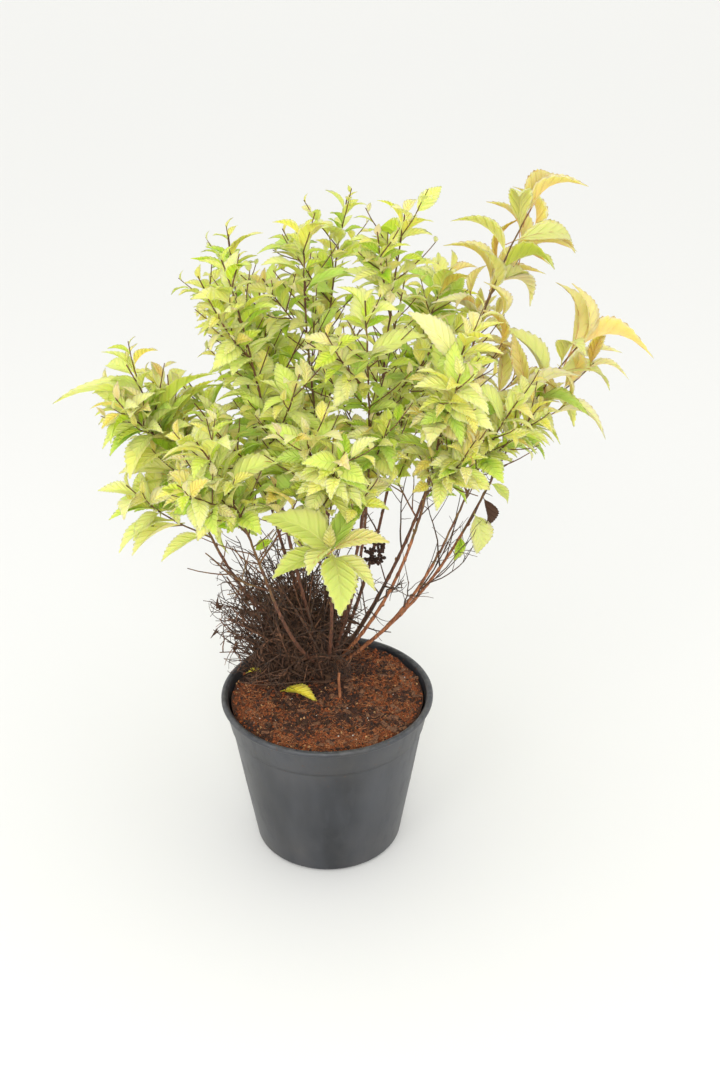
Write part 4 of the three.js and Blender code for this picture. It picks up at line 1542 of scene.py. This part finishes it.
# %% [markdown]
# ## Stalks and midribs
# A leaf hangs on its twig by a short stalk, which runs on through the blade as its midrib. It
# is a thin three-sided rod, thick at the twig and fine at the tip, that is bent with exactly
# the same arch as its leaf, so it shows as a fine line above and a keel below. The small
# leaves do without it.
# %% Stalks and midribs
RIB_CUTS = (0.0, 0.12, 0.3, 0.5, 0.72)
RIB_START = -0.10
RIB_END = 0.93
RIB_WIDTH = 0.045
RIB_HEIGHT = 0.013
clear_selection()
bpy.ops.mesh.primitive_cylinder_add(
    vertices=3, radius=1, depth=RIB_END - RIB_START,
    location=((RIB_END + RIB_START) / 2, 0, 0), rotation=(0, math.pi / 2, 0),
)
bpy.ops.object.transform_apply(location=True, rotation=True)
rib = named("rib")
into_edit_mode()
cut_across([(cut, 0, 0) for cut in RIB_CUTS], (1, 0, 0))
places = corners_of(rib.data)
thick = np.interp(places[:, 0], (RIB_START, 0.05, RIB_END), (1.0, 0.8, 0.25))
places[:, 1] *= RIB_WIDTH * thick
places[:, 2] = places[:, 2] * RIB_HEIGHT * thick - EDGE_THICKNESS
move_corners(rib.data, places)
rib_shape = Shape(rib)

RIB_KINDS = (("lime", (198, 200, 112), "lime_leaf"), ("rosy", (188, 128, 76), "apricot_leaf"))
for kind, colour, slot in RIB_KINDS:
    finish = Finish(f"{kind}_midribs")
    finish.set(Base_Color=paint(*colour), Roughness=0.5 + 0.1 * finish.grain(900))
    ribbed = [leaf for (_, _, _, rib_kind), batch in zip(TINTS, batches) if rib_kind == kind
              for leaf in batch if leaf["length"] >= LARGE_FROM]
    piece = joined(f"{kind}_midribs", (rib_shape, leaf_corners(ribbed, rib_shape)))
    finish_piece(piece, finish, smooth=60)
    print(piece.name, len(ribbed), "ribs,", len(ribbed) * rib_shape.triangles, "triangles")

# %% [markdown]
# ## The woody base
# All stems rise from one knobbly crown that is nearly buried. A ball is cut off at the soil,
# roughened by a Displace modifier and darkened, because the bark here is old and wet.
# %% The woody base
crown_centre = (SHRUB_ORIGIN + BASE_CENTRE) * MM
clear_selection()
bpy.ops.mesh.primitive_uv_sphere_add(
    segments=56, ring_count=36, radius=BASE_RADIUS * MM, location=crown_centre
)
bpy.ops.object.transform_apply(location=True)
crown = named("woody_crown")
into_edit_mode()
cut_height = (SOIL_LEVEL + SOIL_MOUND - 2) * MM
bpy.ops.mesh.bisect(plane_co=(0, 0, cut_height), plane_no=UP, use_fill=True, clear_inner=True)
bpy.ops.object.mode_set(mode="OBJECT")
crown_lumps = bpy.data.textures.new("crown_lumps", "CLOUDS")
crown_lumps.noise_scale = 4.5 * MM
crown_lumps.noise_depth = 4
apply_modifier(crown, "DISPLACE", texture=crown_lumps, strength=6 * MM, mid_level=0.80)
old_bark = bark("old_bark", paint(30, 20, 15), paint(84, 54, 36))
finish_piece(crown, old_bark, ["woody_base"], smooth=50)
print("woody crown:", len(crown.data.polygons), "faces")

# %% [markdown]
# ## Dead stubs
# Round the foot a few dead stubs of earlier years are left, which bristle with twigs. Stubs
# and twigs follow the rule of the solids, and here each twig forks once more. Dead twigs are
# crooked, so a fork changes its way a little at every step.
# %% Dead stubs
OLD_STEMS = [(75, 40), (145, 48), (180, 36), (228, 30), (345, 34)]  # azimuth and lean, degrees
OLD_STEM_LENGTH = 62
OLD_STEM_STEPS = 5
OLD_TWIGS = 7
OLD_TWIG_LENGTH = 30
OLD_STEM_ROOT = 4


def old_stem(azimuth_degrees, lean_degrees, k):
    """The path of a dead stub and the paths of its twigs."""
    draw = chance(5000 + 91 * k)
    lean, azimuth = math.radians(lean_degrees), math.radians(azimuth_degrees)
    length = OLD_STEM_LENGTH * draw(0.85, 1.15)
    path = [socket(lean, azimuth, OLD_STEM_RADIUS)]
    for i in range(OLD_STEM_STEPS):
        way = direction(lean * (1 - 0.08 * i), azimuth + draw(-0.15, 0.15))
        path.append(path[i] + way * (length / OLD_STEM_STEPS))
    twig_paths = []
    for n in range(OLD_TWIGS):
        point, way = on_path(path, between(0.3, 0.95, n / (OLD_TWIGS - 1)))
        outward = sideways(way, math.radians(GOLDEN_ANGLE * n + draw(0, 46)))
        first = leaning(way, outward, math.radians(draw(45, 85)))
        half = OLD_TWIG_LENGTH * draw(0.5, 1.1) / 2
        elbow = point + first * half
        second = (first + outward * draw(-0.3, 0.3) + UP * draw(0, 0.5)).normalized()
        twig_paths.append([point, elbow, elbow + second * half])
    return path, twig_paths


withering = np.random.default_rng(53)


def wandering(start, way, length, steps, wildness, lift=0.0):
    """A crooked path that changes its way a little at every step."""
    path = [start]
    for _ in range(steps):
        jog = Vector(withering.normal(0, wildness, 3)) + UP * lift
        way = (way + jog).normalized()
        path.append(path[-1] + way * (length / steps))
    return path


def forked(path, radii, count, lengths, wildness, fork_radii, low=0.3):
    """A twig with crooked forks, as (points, radii) pairs; low is where its forks start."""
    wood = [(path, taper(path, *radii))]
    for _ in range(count):
        point, way = on_path(path, withering.uniform(low, 0.97))
        outward = sideways(way, withering.uniform(0, 2 * math.pi))
        first = leaning(way, outward, withering.uniform(0.5, 1.3))
        fork = wandering(point, first, withering.uniform(*lengths), 4, wildness)
        wood.append((fork, taper(fork, *fork_radii)))
    return wood


dead_wood = bark("dead_wood", paint(36, 25, 19), paint(104, 73, 52))
stub_paths = []
for k, (azimuth, lean) in enumerate(OLD_STEMS):
    path, twig_paths = old_stem(azimuth, lean, k)
    stub_paths.append(path)
    way = (path[1] - path[0]).normalized()
    rooted = [path[0] - way * OLD_STEM_ROOT] + path
    wood = [(rooted, taper(rooted, OLD_STEM_RADIUS, 0.6))]
    for twig_path in twig_paths:
        wood += forked(twig_path, (0.5, 0.28), 3, (7, 17), 0.22, (0.28, 0.14))
    piece = limbs(f"dead_stub_{k + 1}", wood, 6)
    finish_piece(piece, dead_wood, [f"old_twigs_{k + 1}"], smooth=60)
    print(piece.name, len(wood), "limbs")

# %% [markdown]
# ## The thicket
# Between the stubs and to the left of them stands a dark thicket of very many finer twigs,
# which curled as they dried. Many are started in the soil to the left of the woody base, and
# the others in the base itself. A twig is kept if it stays near the reach of the solid stubs
# and passes over the pot's lip. Each forks a few times, and every fifth is browner and thicker
# than the rest.
# %% The thicket's reach
LIP_CLEARANCE = 3.5
OVER_WALL_FROM = 55  # from here outwards, a twig is above the pot's wall
stub_boxes = [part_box(f"old_twigs_{k + 1}") for k in range(len(OLD_STEMS))]
stubs_low = Vector(map(min, *(low for low, _ in stub_boxes))) / MM - SHRUB_ORIGIN
stubs_high = Vector(map(max, *(high for _, high in stub_boxes))) / MM - SHRUB_ORIGIN
thicket_low = Vector((stubs_low.x - 20, -27, -12))
thicket_high = Vector((21, stubs_high.y - 6, stubs_high.z + 34))
print("thicket from", [round(v) for v in thicket_low], "to", [round(v) for v in thicket_high])


def in_thicket(path):
    """Whether a twig keeps to the thicket's reach and passes over the pot's lip."""
    for point in path:
        is_far_out = math.hypot(point.x + PLANT_X, point.y + PLANT_Y) > OVER_WALL_FROM
        if is_far_out and point.z < LIP_CLEARANCE:
            return False
        if not all(low <= v <= high for low, v, high in zip(thicket_low, point, thicket_high)):
            return False
    return True


# %% The thicket's twigs
THICKET_TWIGS = 520
FROM_SOIL = 0.55  # this share of the tries is started in the soil
SOIL_ROOT = 1.5  # how deep their feet are
THICKET_FORKS = 4
BROWN_EVERY = 5
BROWN_SIZE = 1.35
AROUND = 6.3  # any turn about a twig, in radians


def curling(start, way, length, steps, turn):
    """A path that keeps turning the same way, as a twig does that has dried and curled."""
    path = [start]
    axis = sideways(way, withering.uniform(0, 2 * math.pi))
    for _ in range(steps):
        way = (Quaternion(axis, turn) @ way).normalized()
        axis = square_to(axis + Vector(withering.normal(0, 0.3, 3)), way)
        path.append(path[-1] + way * (length / steps))
    return path


thicket = []
while len(thicket) < THICKET_TWIGS:
    turn = withering.normal(2.9, 1.1)
    seat = withering.uniform(0.1, 1.25)
    start = BASE_CENTRE + direction(seat, turn) * (BASE_RADIUS - 2)
    if withering.uniform(0, 1) < FROM_SOIL:
        x, y = PLANT_X + withering.uniform(-38, 5), PLANT_Y + withering.uniform(-15, 15)
        start = Vector((x, y, ground(x, y) - SOIL_ROOT)) - SHRUB_ORIGIN
    way = direction(withering.uniform(0.15, 1.25), turn + withering.normal(0, 0.7))
    length = withering.uniform(22, 104)
    path = curling(start, way, length, 10, withering.uniform(0.0, 0.40))
    if in_thicket(path) and all(point.z > 1 for point in path[2:]):
        thicket.append(path)
dark_twigs, brown_twigs = [], []
for i, path in enumerate(thicket):
    wood, size = (brown_twigs, BROWN_SIZE) if i % BROWN_EVERY == 0 else (dark_twigs, 1.0)
    wood.append((path, taper(path, 0.55 * size, 0.26 * size)))
    for _ in range(THICKET_FORKS):
        point, way = on_path(path, withering.uniform(0.3, 0.97))
        aside = sideways(way, withering.uniform(0, AROUND))
        first = leaning(way, aside, withering.uniform(0.4, 1.2))
        fork = curling(point, first, withering.uniform(8, 26), 6, withering.uniform(0.05, 0.6))
        if in_thicket(fork) and all(point.z > 0.5 for point in fork):
            wood.append((fork, taper(fork, 0.30 * size, 0.16 * size)))
brown_wood = bark("brown_wood", paint(66, 42, 30), paint(144, 100, 72))
for name, wood, finish in (("dead_thicket", dark_twigs, dead_wood),
                           ("brown_thicket", brown_twigs, brown_wood)):
    piece = limbs(name, wood, 4)
    finish_piece(piece, finish, smooth=80)
    print(name, len(wood), "twigs,", len(piece.data.polygons), "faces")

# %% [markdown]
# ## Dry side shoots
# Low on the living stems a few dry side shoots are left, thin and forked. More of them, as
# thin as wire, grow out to the right from the stems that lean that way.
# %% Dry side shoots
DRY_SHOOTS = [  # number of the stem, place along it, turn about it, and length
    (0, 0.22, -1.5, 52), (1, 0.20, 0.9, 64), (1, 0.30, -0.9, 46), (2, 0.24, 1.2, 48),
    (3, 0.28, -1.2, 44), (12, 0.22, 1.4, 40), (13, 0.20, 1.0, 40), (7, 0.24, 1.0, 42),
]
WIRY_SHOOTS = 9
WIRY_STEMS = (0, 1, 1, 2)
WIRY_WAY = Vector((1, -0.15, 0))

dry = []
for k, share, turn, length in DRY_SHOOTS:
    point, way = on_path(stems[k].path, share)
    first = leaning(way, sideways(way, turn), 0.75)
    path = wandering(point, first, length, 8, 0.10, lift=-0.01)
    dry += forked(path, (0.6, 0.24), 4, (10, 26), 0.14, (0.3, 0.14), low=0.25)
for i in range(WIRY_SHOOTS):
    stem = stems[WIRY_STEMS[i % len(WIRY_STEMS)]]
    point, way = on_path(stem.path, withering.uniform(0.10, 0.42))
    outward = (WIRY_WAY + Vector(withering.normal(0, 0.35, 3))).normalized()
    first = leaning(way, square_to(outward, way), withering.uniform(0.2, 0.8))
    path = wandering(point, first, withering.uniform(36, 76), 11, 0.09, lift=0.08)
    dry += forked(path, (0.42, 0.2), 3, (10, 28), 0.12, (0.24, 0.13))
piece = limbs("dry_side_shoots", dry, 6)
finish_piece(piece, dead_wood, smooth=60)
print("dry side shoots:", len(DRY_SHOOTS) + WIRY_SHOOTS, "with forks", len(dry))

# %% [markdown]
# ## Buds
# Every stem carries small pointed buds at its nodes. A bud is an icosphere drawn out to a
# point; it is pressed against the stem and points up along it.
# %% Buds
BUDS_UP_TO = 1.3 * BARE_SHARE
clear_selection()
bpy.ops.mesh.primitive_ico_sphere_add(subdivisions=1, radius=1)
bud = named("bud")
into_edit_mode("VERT")
bpy.ops.transform.resize(value=(0.62, 0.62, 1.25))
pick(bud, lambda corner: corner.co.z > 1.0, "VERT")
bpy.ops.transform.translate(value=(0, 0, 0.5))
bpy.ops.object.mode_set(mode="OBJECT")
bud_shape = Shape(bud)

bud_places = []
for stem in stems:
    for i in range(1, int(BUDS_UP_TO * stem.length / NODE_SPACING)):
        share = i * NODE_SPACING / stem.length
        point, way = on_path(stem.path, share)
        outward = sideways(way, math.radians(GOLDEN_ANGLE * i))
        up = leaning(way, outward, 0.35)
        side = square_to(outward, up)
        axes = np.array([tuple(side), tuple(up.cross(side)), tuple(up)])
        size = growing.uniform(0.7, 1.15)
        centre = point + outward * stem_radius(share) * 1.05 + way * 0.4 + SHRUB_ORIGIN
        bud_places.append(bud_shape.corners @ axes * size + np.array(tuple(centre)))
buds = joined("buds", (bud_shape, np.array(bud_places) * MM))
finish_piece(buds, young_bark, smooth=50)
print("buds:", len(bud_places))

# %% [markdown]
# ## Withered leaves
# Brown curled leaves hang in the thicket and lie on the soil, and one large dry leaf hangs on
# the right. They are the same leaf as the living ones, bent harder.
# %% Withered leaves
THICKET_LEAVES = 170
LITTER_LEAVES = 22


def loose_leaf(joint, blade, face, length, slenderness, arch, fold, curl):
    """A leaf that isn't part of the rule of growth; arch, fold and curl are for its length."""
    blade = blade.normalized()
    face = square_to(face, blade)
    return {"joint": joint - SHRUB_ORIGIN, "blade": blade, "face": face,
            "across": face.cross(blade), "length": length, "width": length * slenderness,
            "arch": arch * length, "fold": fold * length, "curl": curl,
            "sweep": withering.normal(0, 0.05), "ripple": 0.03,
            "phase": withering.uniform(0, 1)}


withered = []
for _ in range(THICKET_LEAVES):
    path = thicket[withering.integers(len(thicket))]
    point, way = on_path(path, withering.uniform(0.30, 1))
    blade = way + Vector(withering.normal(0, 0.8, 3)) - UP * 0.7
    withered.append(loose_leaf(point + SHRUB_ORIGIN, blade, Vector(withering.normal(0, 1, 3)),
                               withering.uniform(4, 10), 0.42, 0.3, 0.35, 0.6))
for x, y in strewn_spots(LITTER_LEAVES, 12):
    blade = direction(math.pi / 2 - 0.10, withering.uniform(0, 2 * math.pi))
    withered.append(loose_leaf(Vector((x, y, ground(x, y) + 0.4)), blade, UP,
                               withering.uniform(3, 7), 0.5, 0.16, 0.2, 0.2))
hanging, _ = on_path(stems[1].path, 0.52)
withered.append(loose_leaf(hanging + SHRUB_ORIGIN, Vector((0.15, -0.1, -1)),
                           Vector((0.3, -1, 0.2)), 26, 0.36, 0.12, 0.14, 0.2))
print("withered leaves:", len(withered))

# %% [markdown]
# ## The last leaves
# Three leaves are left low on the bare stem that leans to the right, and two yellow ones have
# just fallen and lie flat on the soil.
# %% The last leaves
LATE_LEAVES = [  # tint, place along the stem, way of the blade, way it faces, length, width
    ("pale_olive", 0.47, (0.18, -0.25, -1.0), (0.25, -1, 0.25), 29, 0.60),
    ("olive", 0.56, (0.75, -0.10, -0.75), (0.3, -0.7, 0.6), 22, 0.36),
    ("dimmed_green", 0.40, (-0.30, -0.35, -0.9), (0.1, -1, 0.3), 17, 0.45),
]
FALLEN = [  # name, place, length, azimuth in degrees, sweep, and the node it stands for
    ("fallen_leaf", -27.5, 9.5, 25, -50, 0.16, "shed_leaf_1"),
    ("small_fallen_leaf", -43, 36, 13, -12, -0.08, "shed_leaf_2"),
]
FALLEN_LIFT = 0.9

for k, (tint, share, way, face, length, broad) in enumerate(LATE_LEAVES):
    point, _ = on_path(stems[1].path, share)
    late = loose_leaf(point + SHRUB_ORIGIN, Vector(way), Vector(face), length, broad,
                      0.10, 0.05, 0.1)
    leaves_of(f"late_leaf_{k + 1}", [late], "gold_leaf", *leaf_finishes[tint])
brown_leaf = leaf_finish("withered_leaf", paint(78, 52, 35), 0.8, 0.8, glow=0)
leaves_of("withered_leaves", withered, "dead_wood", brown_leaf, brown_leaf)
yellow_leaf = leaf_finish("fallen_leaf_face", paint(226, 212, 66), 0.5, 0.7)
for name, x, y, length, azimuth, sweep, node in FALLEN:
    blade = direction(math.pi / 2, math.radians(azimuth))
    level = max(ground(x + blade.x * s, y + blade.y * s) for s in (0, length / 2, length))
    seat = Vector((x, y, level + FALLEN_LIFT))
    lying = loose_leaf(seat, blade, UP, length, 0.42, 0.12, 0.10, 0.02)
    lying["sweep"] = sweep
    leaves_of(name, [lying], "shed_leaf", yellow_leaf, yellow_leaf, [node])
print("last leaves:", len(LATE_LEAVES), "on the stem and", len(FALLEN), "on the soil")

# %% [markdown]
# ## Seed heads and a snapped twig
# Last year's flower heads are left as a dark knot of tiny capsules on a stalk at the end of
# a dead stub. Each capsule is a small bead, and they are strung along the stalk's forks. A
# snapped twig stands in the soil in front.
# %% Seed heads and a snapped twig
HEAD_FORKS = 16
CAPSULES_TO_A_FORK = 11
SNAPPED_AT = (6, -8)
SNAPPED_ROOT = 3
SNAPPED_LENGTH = 21

capsule = crumb_shape(0.1)
head_way = Vector((-0.25, 0, 1)).normalized()
head_stalk = wandering(stub_paths[-1][-1], head_way, 30, 6, 0.10)
head_wood = forked(head_stalk, (0.5, 0.25), HEAD_FORKS, (6, 12), 0.25, (0.22, 0.14), low=0.5)
capsules = []
for fork, _ in head_wood[1:]:
    for share in withering.uniform(0.35, 1.0, CAPSULES_TO_A_FORK):
        point, _ = on_path(fork, share)
        centre = point + Vector(withering.normal(0, 0.8, 3)) + SHRUB_ORIGIN
        size = withering.uniform(0.7, 1.3)
        turn = turned_at_random(withering, 1)[0]
        capsules.append(capsule.corners @ turn.T * size + np.array(tuple(centre)))
piece = limbs("seed_head_stalks", head_wood, 4)
finish_piece(piece, dead_wood, smooth=60)
piece = joined("seed_heads", (capsule, np.array(capsules) * MM))
finish_piece(piece, dark_crumb, smooth=40)

x, y = SNAPPED_AT
snapped_foot = Vector((x, y, ground(x, y) - SNAPPED_ROOT)) - SHRUB_ORIGIN
snapped_way = Vector((-0.05, 0.05, 1)).normalized()
snapped = wandering(snapped_foot, snapped_way, SNAPPED_LENGTH, 5, 0.05)
piece = limbs("snapped_twig", [(snapped, taper(snapped, 0.95, 0.8))], 8)
finish_piece(piece, russet_bark, smooth=50)
print("seed capsules:", len(capsules))

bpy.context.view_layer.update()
triangles = sum(len(p.vertices) - 2 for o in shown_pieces() if o.type == "MESH"
                for p in o.data.polygons)
print("triangles shown:", triangles)
